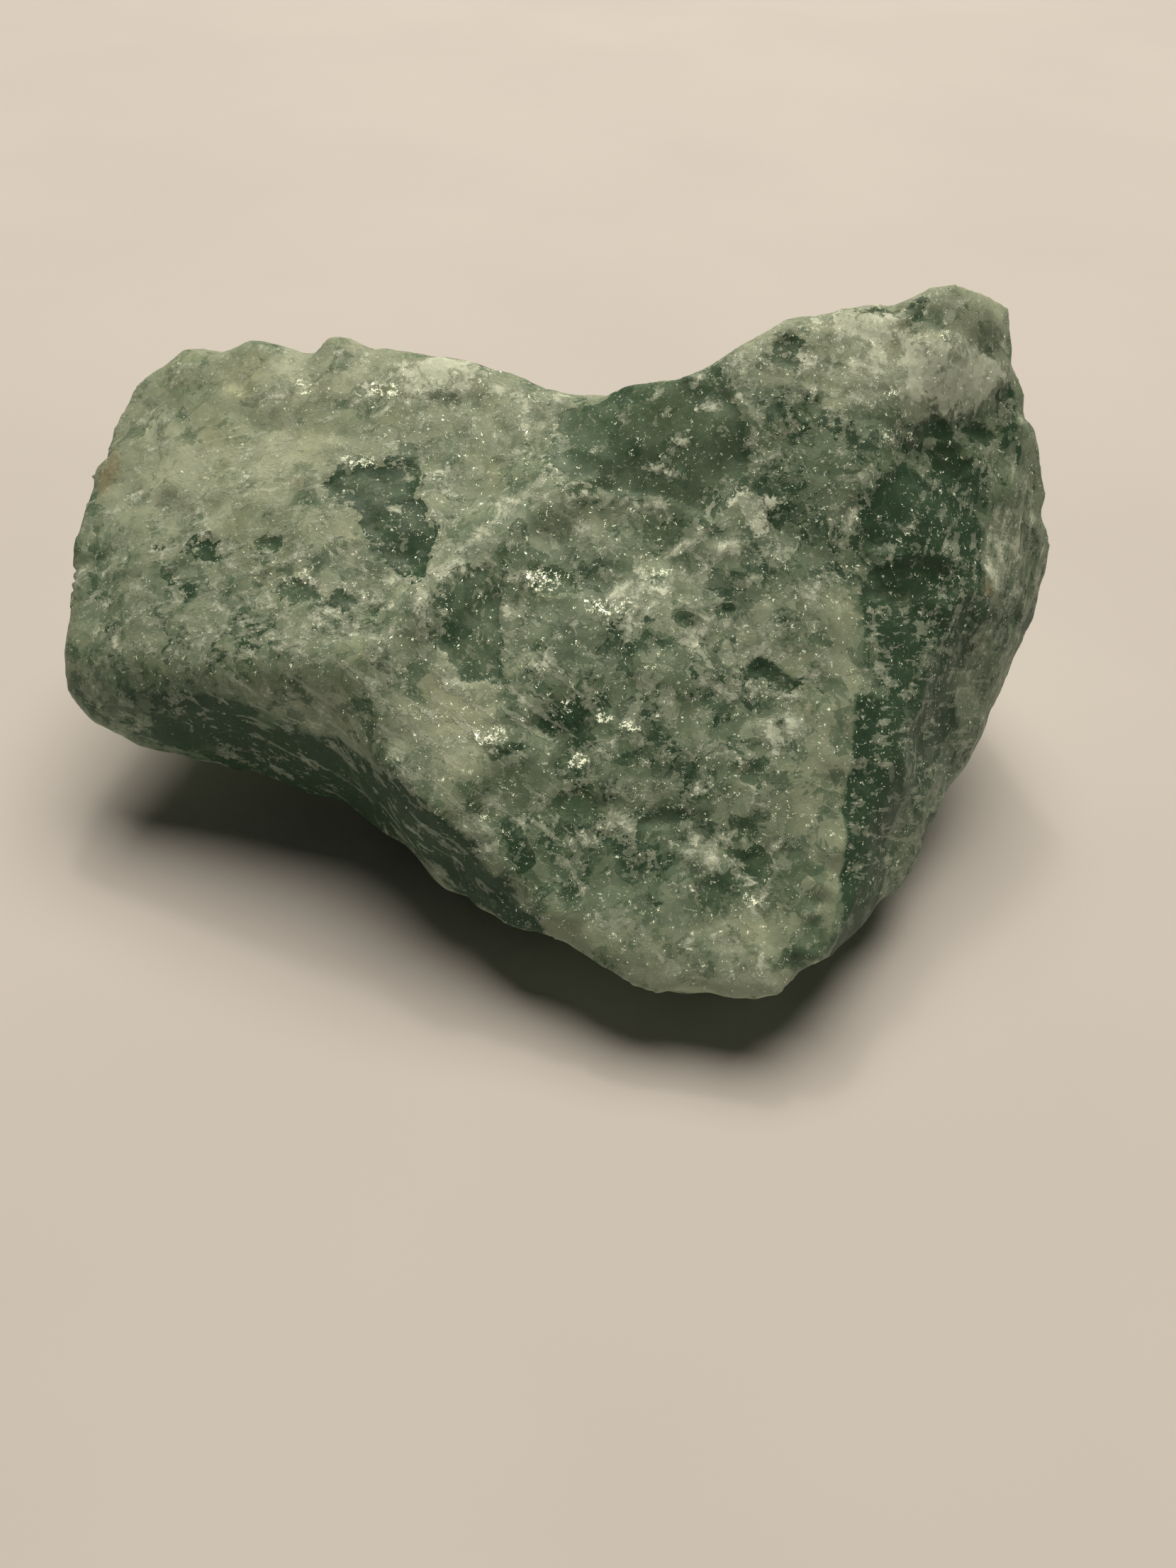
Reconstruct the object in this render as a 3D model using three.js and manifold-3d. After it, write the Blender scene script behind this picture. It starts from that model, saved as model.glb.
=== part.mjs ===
// Green fluorite specimen: one broken chunk of massive fluorite, lying on its broad underside.
// Millimetres, +Z up, +X to the right and +Y away from whoever looks at its main broken face.
// The origin is under the middle of the chunk, on the surface that it lies on.

import * as THREE from "three";
import { ConvexHull } from "three/addons/math/ConvexHull.js";
import { ImprovedNoise } from "three/addons/math/ImprovedNoise.js";
import { mergeVertices } from "three/addons/utils/BufferGeometryUtils.js";
import Module from "manifold-3d";

// Driving dimensions
const HEART = new THREE.Vector3(4, 7, 18);
const FIRST_SPLIT = 7;
const SPLIT_ROUNDS = 4;
const LONGEST_EDGE = 4.2;
const CREST_PULL = 1.1;
const BURIED = 2;
const LUMPS = { size: 13, height: 1.3, seed: 7.3 };
const GRAINS = { size: 3.4, height: 0.3, seed: 63.1 };
const CHIPS = { size: 9, tilt: 0.2 };
const GROUND_REACH = 200;

// The chunk is three broken blocks grown together. Each is the convex body round its own corners,
// and each holds the heart of the chunk, from which the whole surface can be seen.
const LEFT_BLOCK = {
  rim: [
    [-55, 6, 27], [-55, 13, 31], [-55, 20, 34.5], [-52.3, 26, 38], [-46, 30.5, 40.8], [-38.2, 27, 43.3],
    [-25.5, 26, 46.4], [-19.3, 25, 45.8], [-9, 23.3, 43.6], [1, 18.5, 43.8],
  ],
  frontRidge: [[-54, 0, 24], [-34, -8, 25], [-24, -13, 27]],
  underside: [[-55, -3, 22], [-54.6, -6.2, 15.5], [-49, -4, 8.5], [-39, -4, 7], [-31, -6, 6], [-24, -10, 6]],
  back: [[-47, 36, 28], [-42, 38, 12], [-20, 37, 34], [-5, 36, 10], [2, 34, 32]],
  root: [[8, -6, 30], [8, -6, 10], [8, 18, 8], [8, 16, 30]],
};

const MIDDLE_BLOCK = {
  rim: [[1, 18.5, 43.8], [4, 15, 44.5], [11, 14, 48]],
  frontRidge: [[-24, -13, 27], [-18, -16, 24], [-11, -21, 17], [-5, -27, 13], [2, -33, 11]],
  underside: [[-24, -10, 6], [-20, -13, 6], [-12, -18, 8], [-3, -30, 9.5]],
  base: [[-22, 2, -BURIED], [-10, -9, -BURIED], [-18, 26, -BURIED], [20, 26, -BURIED]],
  back: [[-10, 34, 33], [4, 32, 34], [16, 36, 30], [4, 37, 12]],
  root: [[27, -22, 18], [27, 5, 40]],
};

const RIGHT_BLOCK = {
  tip: [[2, -33, 11], [8, -35, 9.3], [15, -37.4, 7.6], [21, -36, 9], [26.8, -35, 11.5]],
  uprightEdge: [[28.8, -26.6, 16.8], [31.2, -13.8, 27.5], [31.4, 0, 39], [34.4, 9, 46.6], [39.4, 21, 56.2]],
  rim: [
    [11, 14, 48], [19, 16.3, 52], [22.8, 18, 54], [34.6, 20, 55.4], [39.4, 21, 56.2], [47.8, 25, 52.8],
  ],
  rightSide: [[49.6, 21, 50.6], [51, 18, 44], [53, 15, 37], [55.3, 15, 33], [55.6, 10.5, 22], [54.6, 8, 17]],
  rightRidge: [[51, 18, 44], [52, 9.8, 30], [49, 4, 24], [44.6, -4, 13]],
  underside: [[49.4, 0.5, 12], [43.3, -11.3, 8], [38.5, -20, 8], [32.7, -27.5, 9]],
  base: [[0, -11, -BURIED], [29, -12, -BURIED], [40, 10, -BURIED], [38, 30, -BURIED], [0, 26, -BURIED]],
  back: [[46, 36, 38], [48, 38, 15], [30, 36, 42], [12, 34, 32], [5, 36, 10]],
  root: [[-2, -12, 22], [-2, 4, 12], [-2, 14, 12]],
};

// Sharp lines that run on over the surface from corner to corner.
const CRESTS = [
  [...LEFT_BLOCK.rim, ...RIGHT_BLOCK.rim],
  [...LEFT_BLOCK.frontRidge, ...MIDDLE_BLOCK.frontRidge, ...RIGHT_BLOCK.tip, ...RIGHT_BLOCK.uprightEdge],
  RIGHT_BLOCK.rightRidge,
];

// Shallow dishes where flakes have come away.
const DISHES = [
  { middle: [-32, 26.5, 44.5], width: 7, depth: 3.4 },
  { middle: [8, 3, 40], width: 24, depth: 1.3 },
  { middle: [40, -5, 24], width: 22, depth: 1.8 },
  { middle: [-34, -6, 15], width: 18, depth: 1.5 },
  { middle: [-8, -22, 12], width: 12, depth: 1.2 },
  { middle: [14, 36, 22], width: 26, depth: 2.5 },
];

// Flat breaks: below its top, nothing stands out past the plane of a break.
const BREAKS = [{ on: [31.3, -6.9, 33.25], facing: [0.385, -0.594, 0.706], top: 52, ledge: 6 }];

const fluorite = new THREE.MeshStandardMaterial({
  color: new THREE.Color(0.34, 0.47, 0.36),
  roughness: 0.45,
  metalness: 0,
  flatShading: true,
});

const perlin = new ImprovedNoise();
const wasm = await Module();
wasm.setup();

const vectorOf = (corner) => new THREE.Vector3(...corner);
const directionOf = (point) => point.clone().sub(HEART).normalize();
const byDistance = (a, b) => a.distanceTo(HEART) - b.distanceTo(HEART);

const hulls = [LEFT_BLOCK, MIDDLE_BLOCK, RIGHT_BLOCK].map((block) =>
  new ConvexHull().setFromPoints(Object.values(block).flat().map(vectorOf)),
);

const crestLines = CRESTS.flatMap((crest) =>
  crest.slice(1).map((end, i) => new THREE.Line3(vectorOf(crest[i]), vectorOf(end))),
);

// Where a ray from the heart leaves the last of the blocks.
function faceAlong(direction) {
  const ray = new THREE.Ray(HEART, direction);
  const exits = hulls.map((hull) => hull.intersectRay(ray, new THREE.Vector3()));
  return exits.sort(byDistance).at(-1);
}

// A point that is close to a crest moves on to it, so that the crest stays sharp.
function pulledToCrest(point) {
  const nearest = crestLines.map((line) => line.closestPointToPoint(point, true, new THREE.Vector3()));
  return nearest.find((spot) => spot.distanceTo(point) < CREST_PULL) ?? point;
}

const MIXING_STEPS = new THREE.Vector3(12.9898, 78.233, 37.719);
const MIXING_SCALE = 43758.5453;

// A number from 0 to 1 that looks random but is always the same for the same cell and seed.
function chance(cell, seed) {
  const mixed = Math.sin(cell.dot(MIXING_STEPS) + seed) * MIXING_SCALE;
  return mixed - Math.floor(mixed);
}

// Three such numbers at once.
function chances(cell, seed) {
  return new THREE.Vector3(chance(cell, seed), chance(cell, seed + 1), chance(cell, seed + 2));
}

// Flat chips: each holds the ground nearest to its middle, and lies at its own tilt.
function chips(point) {
  const home = point.clone().divideScalar(CHIPS.size).floor();
  let nearest = Infinity;
  let height = 0;
  for (const x of [-1, 0, 1])
    for (const y of [-1, 0, 1])
      for (const z of [-1, 0, 1]) {
        const cell = new THREE.Vector3(x, y, z).add(home);
        const middle = chances(cell, 1).add(cell).multiplyScalar(CHIPS.size);
        const offset = point.clone().sub(middle);
        if (offset.length() >= nearest) continue;
        nearest = offset.length();
        height = offset.dot(chances(cell, 4).subScalar(0.5)) * CHIPS.tilt;
      }
  return height;
}

// Smooth noise that rises and falls over the given size.
function noiseAt(point, { size, height, seed }) {
  return perlin.noise(point.x / size + seed, point.y / size + seed, point.z / size - seed) * height;
}

// How deep a dish is at a point.
function dishDepth({ middle, width, depth }, point) {
  const reach = vectorOf(middle).distanceTo(point) / (width / 2);
  return depth * Math.max(0, 1 - reach ** 2);
}

// How far the broken surface stands out at a point: broad lumps, coarse grains, flat chips and dishes.
function relief(point) {
  const dishes = DISHES.reduce((sum, dish) => sum + dishDepth(dish, point), 0);
  return noiseAt(point, LUMPS) + noiseAt(point, GRAINS) + chips(point) - dishes;
}

// How far a point goes back towards the heart to lie on the plane of a break.
function breakDepth({ on, facing, top, ledge }, point) {
  const normal = vectorOf(facing).normalize();
  const proud = Math.max(0, point.clone().sub(vectorOf(on)).dot(normal));
  const share = THREE.MathUtils.clamp((top - point.z) / ledge, 0, 1);
  return (share * proud) / normal.dot(directionOf(point));
}

// The point of the rough surface that lies in this direction from the heart.
function surfaceAlong(direction) {
  const face = pulledToCrest(faceAlong(direction));
  const away = directionOf(face);
  for (const flat of BREAKS) if (away.dot(vectorOf(flat.facing)) > 0) face.addScaledVector(away, -breakDepth(flat, face));
  return face.clone().addScaledVector(away, relief(face));
}

// Halves every edge that is over the limit, in a few rounds. Neighbours share each halfway point, so
// the surface stays closed.
function refine(points, triangles, rounds) {
  if (rounds === 0) return triangles;
  const halfways = new Map();
  const halfway = (a, b) => {
    if (points[a].distanceTo(points[b]) <= LONGEST_EDGE) return null;
    const key = Math.min(a, b) + " " + Math.max(a, b);
    if (!halfways.has(key)) {
      const middle = points[a].clone().lerp(points[b], 0.5);
      halfways.set(key, points.push(surfaceAlong(directionOf(middle))) - 1);
    }
    return halfways.get(key);
  };
  const finer = triangles.flatMap((corners) => {
    const middles = corners.map((corner, i) => halfway(corner, corners[(i + 1) % 3]));
    return splitTriangle(corners, middles);
  });
  return refine(points, finer, rounds - 1);
}

// The triangles that one becomes when some of its edges have a halfway point.
function splitTriangle([a, b, c], [ab, bc, ca]) {
  const split = [ab, bc, ca].filter((middle) => middle !== null).length;
  if (split === 0) return [[a, b, c]];
  if (split === 3) return [[a, ab, ca], [ab, b, bc], [ca, bc, c], [ab, bc, ca]];
  if (ab === null) return splitTriangle([b, c, a], [bc, ca, ab]);
  if (split === 1) return [[a, ab, c], [ab, b, c]];
  if (bc === null) return splitTriangle([c, a, b], [ca, ab, bc]);
  return [[ab, b, bc], [a, ab, bc], [a, bc, c]];
}

// A geometry with its positions alone, and each position once.
function bareGeometry(geometry) {
  return mergeVertices(geometry.deleteAttribute("normal").deleteAttribute("uv"));
}

// The rough surface all round, as a closed geometry.
function roughGeometry() {
  const ball = bareGeometry(new THREE.IcosahedronGeometry(1, FIRST_SPLIT));
  const directions = ball.getAttribute("position");
  const points = Array.from({ length: directions.count }, (_, i) =>
    surfaceAlong(new THREE.Vector3().fromBufferAttribute(directions, i).normalize()),
  );
  const triangles = [];
  for (let i = 0; i < ball.index.count; i += 3) triangles.push([...ball.index.array.slice(i, i + 3)]);
  const finer = refine(points, triangles, SPLIT_ROUNDS);
  return new THREE.BufferGeometry().setFromPoints(points).setIndex(finer.flat());
}

// A closed geometry as a solid that can be cut.
function solidOf(geometry) {
  return new wasm.Manifold(
    new wasm.Mesh({
      numProp: 3,
      vertProperties: geometry.attributes.position.array,
      triVerts: new Uint32Array(geometry.index.array),
    }),
  );
}

// Everything below the surface that the chunk lies on.
function ground() {
  const box = new THREE.BoxGeometry(GROUND_REACH, GROUND_REACH, GROUND_REACH);
  return solidOf(bareGeometry(box.translate(0, 0, -GROUND_REACH / 2)));
}

// The rough chunk with its underside worn flat where it lies, and the origin under its middle.
function chunkGeometry() {
  const { vertProperties, triVerts } = solidOf(roughGeometry()).subtract(ground()).getMesh();
  const geometry = new THREE.BufferGeometry();
  geometry.setAttribute("position", new THREE.BufferAttribute(vertProperties, 3));
  geometry.setIndex(new THREE.BufferAttribute(triVerts, 1));
  geometry.computeBoundingBox();
  const middle = geometry.boundingBox.getCenter(new THREE.Vector3());
  geometry.translate(-middle.x, -middle.y, 0);
  geometry.computeVertexNormals();
  return geometry;
}

const chunk = new THREE.Mesh(chunkGeometry(), fluorite);
chunk.name = "fluorite_chunk";

const specimen = new THREE.Group();
specimen.add(chunk);

export default specimen;
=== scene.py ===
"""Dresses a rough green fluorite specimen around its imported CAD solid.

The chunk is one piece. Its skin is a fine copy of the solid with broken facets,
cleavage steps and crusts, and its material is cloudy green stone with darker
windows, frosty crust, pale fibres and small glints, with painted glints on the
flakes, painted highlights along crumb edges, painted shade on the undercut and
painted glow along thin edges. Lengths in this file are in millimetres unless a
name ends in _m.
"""

import logging
import math
from collections.abc import Iterator
from dataclasses import dataclass, field
from enum import Enum

import bmesh
import bpy
import numpy as np
from mathutils import Matrix, Vector
from mathutils.bvhtree import BVHTree


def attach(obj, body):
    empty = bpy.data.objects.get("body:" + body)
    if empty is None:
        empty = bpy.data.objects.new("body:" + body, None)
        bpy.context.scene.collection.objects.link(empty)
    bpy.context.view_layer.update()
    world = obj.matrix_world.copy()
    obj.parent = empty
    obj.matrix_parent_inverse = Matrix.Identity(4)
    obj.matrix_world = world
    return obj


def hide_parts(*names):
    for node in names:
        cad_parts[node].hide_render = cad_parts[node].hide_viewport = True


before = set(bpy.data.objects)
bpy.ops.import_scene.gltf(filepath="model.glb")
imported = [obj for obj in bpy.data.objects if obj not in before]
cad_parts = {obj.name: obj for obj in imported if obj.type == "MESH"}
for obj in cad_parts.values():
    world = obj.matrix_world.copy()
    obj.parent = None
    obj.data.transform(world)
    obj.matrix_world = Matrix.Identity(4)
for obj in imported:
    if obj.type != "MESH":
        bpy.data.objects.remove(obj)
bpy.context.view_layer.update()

LOG = logging.getLogger("fluorite")
MM = 0.001

# How far from a crisp edge, in mm, its distance is still told apart
EDGE_REACH = 3.0

Array = np.ndarray
Pixel = tuple[float, float]
Point = tuple[float, float, float]
Colour = tuple[float, float, float]
Span = tuple[float, float]
Inputs = dict[object, object]
Socket = bpy.types.NodeSocket


# Seeded noise

# What the hash multiplies the cells, the seed and its own shifted bits by
CELL_STIRS = (374761393, 668265263, 1442695041)
SEED_STIR = 974634777
SHIFTED_STIRS = ((15, 739982445), (12, 695872825))
LAST_SHIFT = 15
LOW_32_BITS = 0xFFFFFFFF
LOW_10_BITS = 0x3FF

# What brings the noise and its sum to a reach of about 1, and what keeps its layers apart
NOISE_GAIN = 1.5
CLOUD_GAIN = 1.4
LAYER_SHIFT = 17.3
AXIS_SEEDS = 31


def hashed(cells: Array, seed: int) -> Array:
    """Turns whole-number cells into evenly spread 32-bit numbers.

    Args:
        cells: An array of shape (n, 3) of whole numbers.
        seed: A number that picks one of many tables.

    Returns:
        An array of n numbers from 0 to 2**32 - 1.
    """
    cells = cells.astype(np.int64) & LOW_32_BITS
    bits = (cells @ np.array(CELL_STIRS) + seed * SEED_STIR) & LOW_32_BITS
    for shift, stir in SHIFTED_STIRS:
        bits = ((bits ^ (bits >> shift)) * stir) & LOW_32_BITS
    return bits ^ (bits >> LAST_SHIFT)


def spread(cells: Array, seed: int) -> Array:
    """Gives each cell three even numbers from 0 to 1.

    Args:
        cells: An array of shape (n, 3) of whole numbers.
        seed: A number that picks one of many tables.

    Returns:
        An array of shape (n, 3).
    """
    bits = hashed(cells, seed)
    parts = np.stack([(bits >> shift) & LOW_10_BITS for shift in (0, 10, 20)], axis=1)
    return parts / LOW_10_BITS


def ramp(value: Array, low: float, high: float) -> Array:
    """Climbs smoothly from 0 at low to 1 at high.

    Args:
        value: Any numbers.
        low: Where the climb starts.
        high: Where it ends. It may lie below low, and then the climb is a fall.

    Returns:
        Numbers from 0 to 1.
    """
    t = np.clip((value - low) / (high - low), 0.0, 1.0)
    return t * t * (3.0 - 2.0 * t)


def gradient_noise(points: Array, seed: int) -> Array:
    """Classic gradient noise with cells of size 1.

    Args:
        points: An array of shape (n, 3).
        seed: Which noise.

    Returns:
        Numbers of about -1 to 1.
    """
    base = np.floor(points).astype(np.int64)
    inside = points - base
    fade = inside**3 * (inside * (inside * 6.0 - 15.0) + 10.0)
    total = np.zeros(len(points))
    for corner in np.ndindex(2, 2, 2):
        step = np.array(corner)
        slope = spread(base + step, seed) * 2.0 - 1.0
        weight = np.prod(np.where(step, fade, 1.0 - fade), axis=1)
        total += weight * ((inside - step) * slope).sum(axis=1)
    return total * NOISE_GAIN


def cloud(points: Array, size: float, seed: int, octaves: int = 4, gain: float = 0.5) -> Array:
    """Gradient noise summed over several sizes.

    Args:
        points: Places in mm.
        size: The size of the largest blobs in mm.
        seed: Which noise.
        octaves: How many sizes, each half the one before.
        gain: The share that each next size adds.

    Returns:
        Numbers of about -1 to 1.
    """
    total = np.zeros(len(points))
    weight = 1.0
    reach = 0.0
    for i in range(octaves):
        total += weight * gradient_noise(points * (2.0**i / size) + LAYER_SHIFT * i, seed + i)
        reach += weight
        weight *= gain
    return total / reach * CLOUD_GAIN


def warped(points: Array, size: float, reach: float, seed: int) -> Array:
    """Pushes places about, so that what is drawn on them gets ragged edges.

    Args:
        points: Places in mm.
        size: The size of the pushes' pattern in mm.
        reach: How far they push, in mm.
        seed: Which pattern.

    Returns:
        The moved places.
    """
    seeds = [seed + AXIS_SEEDS * axis for axis in range(3)]
    push = [cloud(points, size, axis_seed, octaves=3, gain=0.6) for axis_seed in seeds]
    return points + reach * np.stack(push, axis=1)


# Where the photograph was taken from


@dataclass(frozen=True)
class View:
    """The camera's place and angles, and which way each of its pixels looks."""

    eye: Point = (3.7, -112.9, 112.0)
    pitch_deg: float = 44.5
    roll_deg: float = 2.5
    focal_px: float = 1800.0
    wide_px: float = 1659.0
    high_px: float = 2212.0

    def axes(self) -> Array:
        """Works out which way the camera's right, up and ahead point.

        Returns:
            Three unit vectors, one in each row.
        """
        pitch, roll = math.radians(self.pitch_deg), math.radians(self.roll_deg)
        side = np.array([1.0, 0.0, 0.0])
        over = np.array([0.0, math.sin(pitch), math.cos(pitch)])
        ahead = np.array([0.0, math.cos(pitch), -math.sin(pitch)])
        right = side * math.cos(roll) + over * math.sin(roll)
        up = over * math.cos(roll) - side * math.sin(roll)
        return np.stack([right, up, ahead])

    def ray(self, pixel: Pixel) -> Array:
        """Finds the direction in which a pixel looks.

        Args:
            pixel: A place in the photograph.

        Returns:
            A unit vector.
        """
        right, up, ahead = self.axes()
        across = (pixel[0] - self.wide_px / 2) / self.focal_px
        down = (pixel[1] - self.high_px / 2) / self.focal_px
        way = ahead + right * across - up * down
        return way / np.linalg.norm(way)


class Stone:
    """The CAD solid, as a surface on which the photograph's pixels land."""

    middle_px: Pixel = (800.0, 880.0)
    steps_inwards: int = 60
    step_share: float = 0.005

    def __init__(self, node: str, view: View) -> None:
        """Readies the solid of that node."""
        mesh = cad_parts[node].data
        places = [vertex.co / MM for vertex in mesh.vertices]
        self.view = view
        self.tree = BVHTree.FromPolygons(places, [list(face.vertices) for face in mesh.polygons])

    def seen(self, pixel: Pixel) -> Array:
        """Finds the place on the stone that a pixel shows.

        Args:
            pixel: A place in the photograph. One just beside the stone counts as its edge.

        Returns:
            The place in mm.

        Raises:
            ValueError: The pixel lies far from the stone.
        """
        start = np.array(pixel)
        for step in range(self.steps_inwards):
            aim = start + step * self.step_share * (np.array(self.middle_px) - start)
            hit = self.tree.ray_cast(Vector(self.view.eye), Vector(self.view.ray(aim)))[0]
            if hit is not None:
                return np.array(hit)
        raise ValueError(f"pixel {pixel} doesn't show the stone")

    def pixel_size(self, place: Array) -> float:
        """Tells how many mm one pixel spans at a place, across the line of sight."""
        return float(np.linalg.norm(place - np.array(self.view.eye))) / self.view.focal_px


# Where the marks lie. Pixels are places in the photograph, read off one by one.


class Kind(Enum):
    """What a patch of the surface looks like."""

    WINDOW = "dark green and clear, a little sunken"
    DEEP = "the darkest and greenest"
    # On the undercut below the lobe SHADE is painted shade; on the right face it is the stone's darker
    # grey-green
    SHADE = "dark grey-green and rough"
    MIDDLE = "middle green, fairly smooth"
    PALE = "pale, smooth and translucent"
    CLOUDY = "light green and smooth, with few crumbs"
    CRUST = "grey-white crumbs over green"
    FROST = "white crumbs"
    CREAM = "thick cream-white scale"
    # BAND is pale partly as painted glow, where light shines through a thin edge
    BAND = "pale smooth strip along an edge"
    # GLINT clusters are shiny flakes that reflect the lamps and are also painted near-white: painted glints
    GLINT = "a cluster of bright flakes"
    RUST = "a tan iron stain"


CLEAR_KINDS = (Kind.WINDOW, Kind.DEEP)
WHITE_KINDS = (Kind.FROST, Kind.CREAM)
SPOT_KINDS = (Kind.GLINT, Kind.RUST)


@dataclass(frozen=True)
class Look:
    """How one kind of patch sets the skin's fields."""

    depth: float
    frost: float
    clean: float
    sink: float = 0.0


LOOKS: dict[Kind, Look] = {
    Kind.WINDOW: Look(depth=0.86, frost=-0.40, clean=0.85),
    Kind.DEEP: Look(depth=1.02, frost=-0.50, clean=0.90),
    # SHADE is painted shade on the undercut
    Kind.SHADE: Look(depth=1.06, frost=-0.28, clean=0.30, sink=0.08),
    Kind.MIDDLE: Look(depth=0.74, frost=0.01, clean=0.40),
    Kind.PALE: Look(depth=0.14, frost=0.10, clean=0.45),
    Kind.CLOUDY: Look(depth=0.40, frost=-0.12, clean=0.70),
    Kind.CRUST: Look(depth=0.50, frost=0.20, clean=0.05, sink=-0.06),
    Kind.FROST: Look(depth=0.24, frost=0.46, clean=0.0, sink=-0.08),
    Kind.CREAM: Look(depth=0.12, frost=0.95, clean=0.1, sink=-0.10),
    Kind.BAND: Look(depth=0.34, frost=-0.26, clean=0.85),
}
LOOK_FIELDS = ("depth", "frost", "clean", "sink")

# Where a spot's share climbs from 0 to 1, with the spot's outline at 1
SPOT_ENDS: dict[Kind, Span] = {Kind.GLINT: (1.5, 0.6), Kind.RUST: (1.6, 0.2)}


@dataclass(frozen=True)
class Patch:
    """A round patch: its middle, and its half width and half height, in pixels."""

    kind: Kind
    middle: Pixel
    half: Pixel

    def distance(self, stone: Stone, points: Array) -> Array:
        """Measures how far places lie from the middle.

        Args:
            stone: The surface on which the pixels land.
            points: Places in mm.

        Returns:
            Distances, which are 1 at the patch's outline.
        """
        place = stone.seen(self.middle)
        across, along = np.array(self.half) * stone.pixel_size(place)
        gap = points - place
        slope = (gap[:, 1] ** 2 + gap[:, 2] ** 2) / along**2
        return np.sqrt(gap[:, 0] ** 2 / across**2 + slope)

    def inside(self, stone: Stone, points: Array) -> Array:
        """Measures roughly how far places lie inside the patch, in mm."""
        small = min(self.half) * stone.pixel_size(stone.seen(self.middle))
        return np.maximum((1.0 - self.distance(stone, points)) * small, -EDGE_REACH)


@dataclass(frozen=True)
class Outline:
    """A patch with corners, given by the pixels of its corners in turn."""

    kind: Kind
    corners: tuple[Pixel, ...]

    # How far the surface may lie off the corners' plane, in mm and as a share of the size
    slack: float = 2.5
    slack_share: float = 0.3

    def inside(self, stone: Stone, points: Array) -> Array:
        """Measures how far places lie inside the outline.

        Args:
            stone: The surface on which the pixels land.
            points: Places in mm.

        Returns:
            Distances in mm, above 0 inside and no less than -EDGE_REACH.
        """
        ring = np.stack([stone.seen(corner) for corner in self.corners])
        middle = ring.mean(axis=0)
        ring = ring - middle
        facing = np.cross(ring, np.roll(ring, -1, axis=0)).sum(axis=0)
        facing /= np.linalg.norm(facing)
        size = np.linalg.norm(ring, axis=1).max()
        result = np.full(len(points), -EDGE_REACH)
        near = np.linalg.norm(points - middle, axis=1) < size + EDGE_REACH
        gap = points[near] - middle
        height = gap @ facing
        flat = gap - height[:, None] * facing
        ring = ring - (ring @ facing)[:, None] * facing
        nearest = np.full(len(flat), np.inf)
        turned = np.zeros(len(flat))
        for start, end in zip(ring, np.roll(ring, -1, axis=0)):
            to_start, to_end = flat - start, flat - end
            nearest = np.minimum(nearest, span_distance(to_start, end - start))
            across = np.cross(to_start, to_end) @ facing
            turned += np.arctan2(across, (to_start * to_end).sum(axis=1))
        signed = np.where(np.abs(turned) > math.pi, nearest, -nearest)
        signed -= np.maximum(np.abs(height) - self.slack - self.slack_share * size, 0.0)
        result[near] = np.maximum(signed, -EDGE_REACH)
        return result


def span_distance(gap: Array, run: Array) -> Array:
    """Measures how far places lie from a straight stretch.

    Args:
        gap: The places in mm, counted from the stretch's start.
        run: The vector from its start to its end in mm.

    Returns:
        Distances in mm.
    """
    share = np.clip(gap @ run / (run @ run), 0.0, 1.0)
    return np.linalg.norm(gap - share[:, None] * run, axis=1)


# The broad tone of each part of the chunk, on which the patches lie
REGIONS: tuple[Patch, ...] = (
    Patch(Kind.PALE, (365, 640), (190, 130)),
    Patch(Kind.CRUST, (520, 880), (100, 90)),
    Patch(Kind.MIDDLE, (880, 930), (230, 210)),
    Patch(Kind.FROST, (1250, 475), (190, 80)),
    Patch(Kind.SHADE, (1330, 900), (100, 220)),
    Patch(Kind.CRUST, (970, 1375), (170, 45)),
    # painted shade on the undercut
    Patch(Kind.SHADE, (480, 1110), (300, 90)),
    Patch(Kind.MIDDLE, (200, 930), (130, 80)),
)

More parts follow.
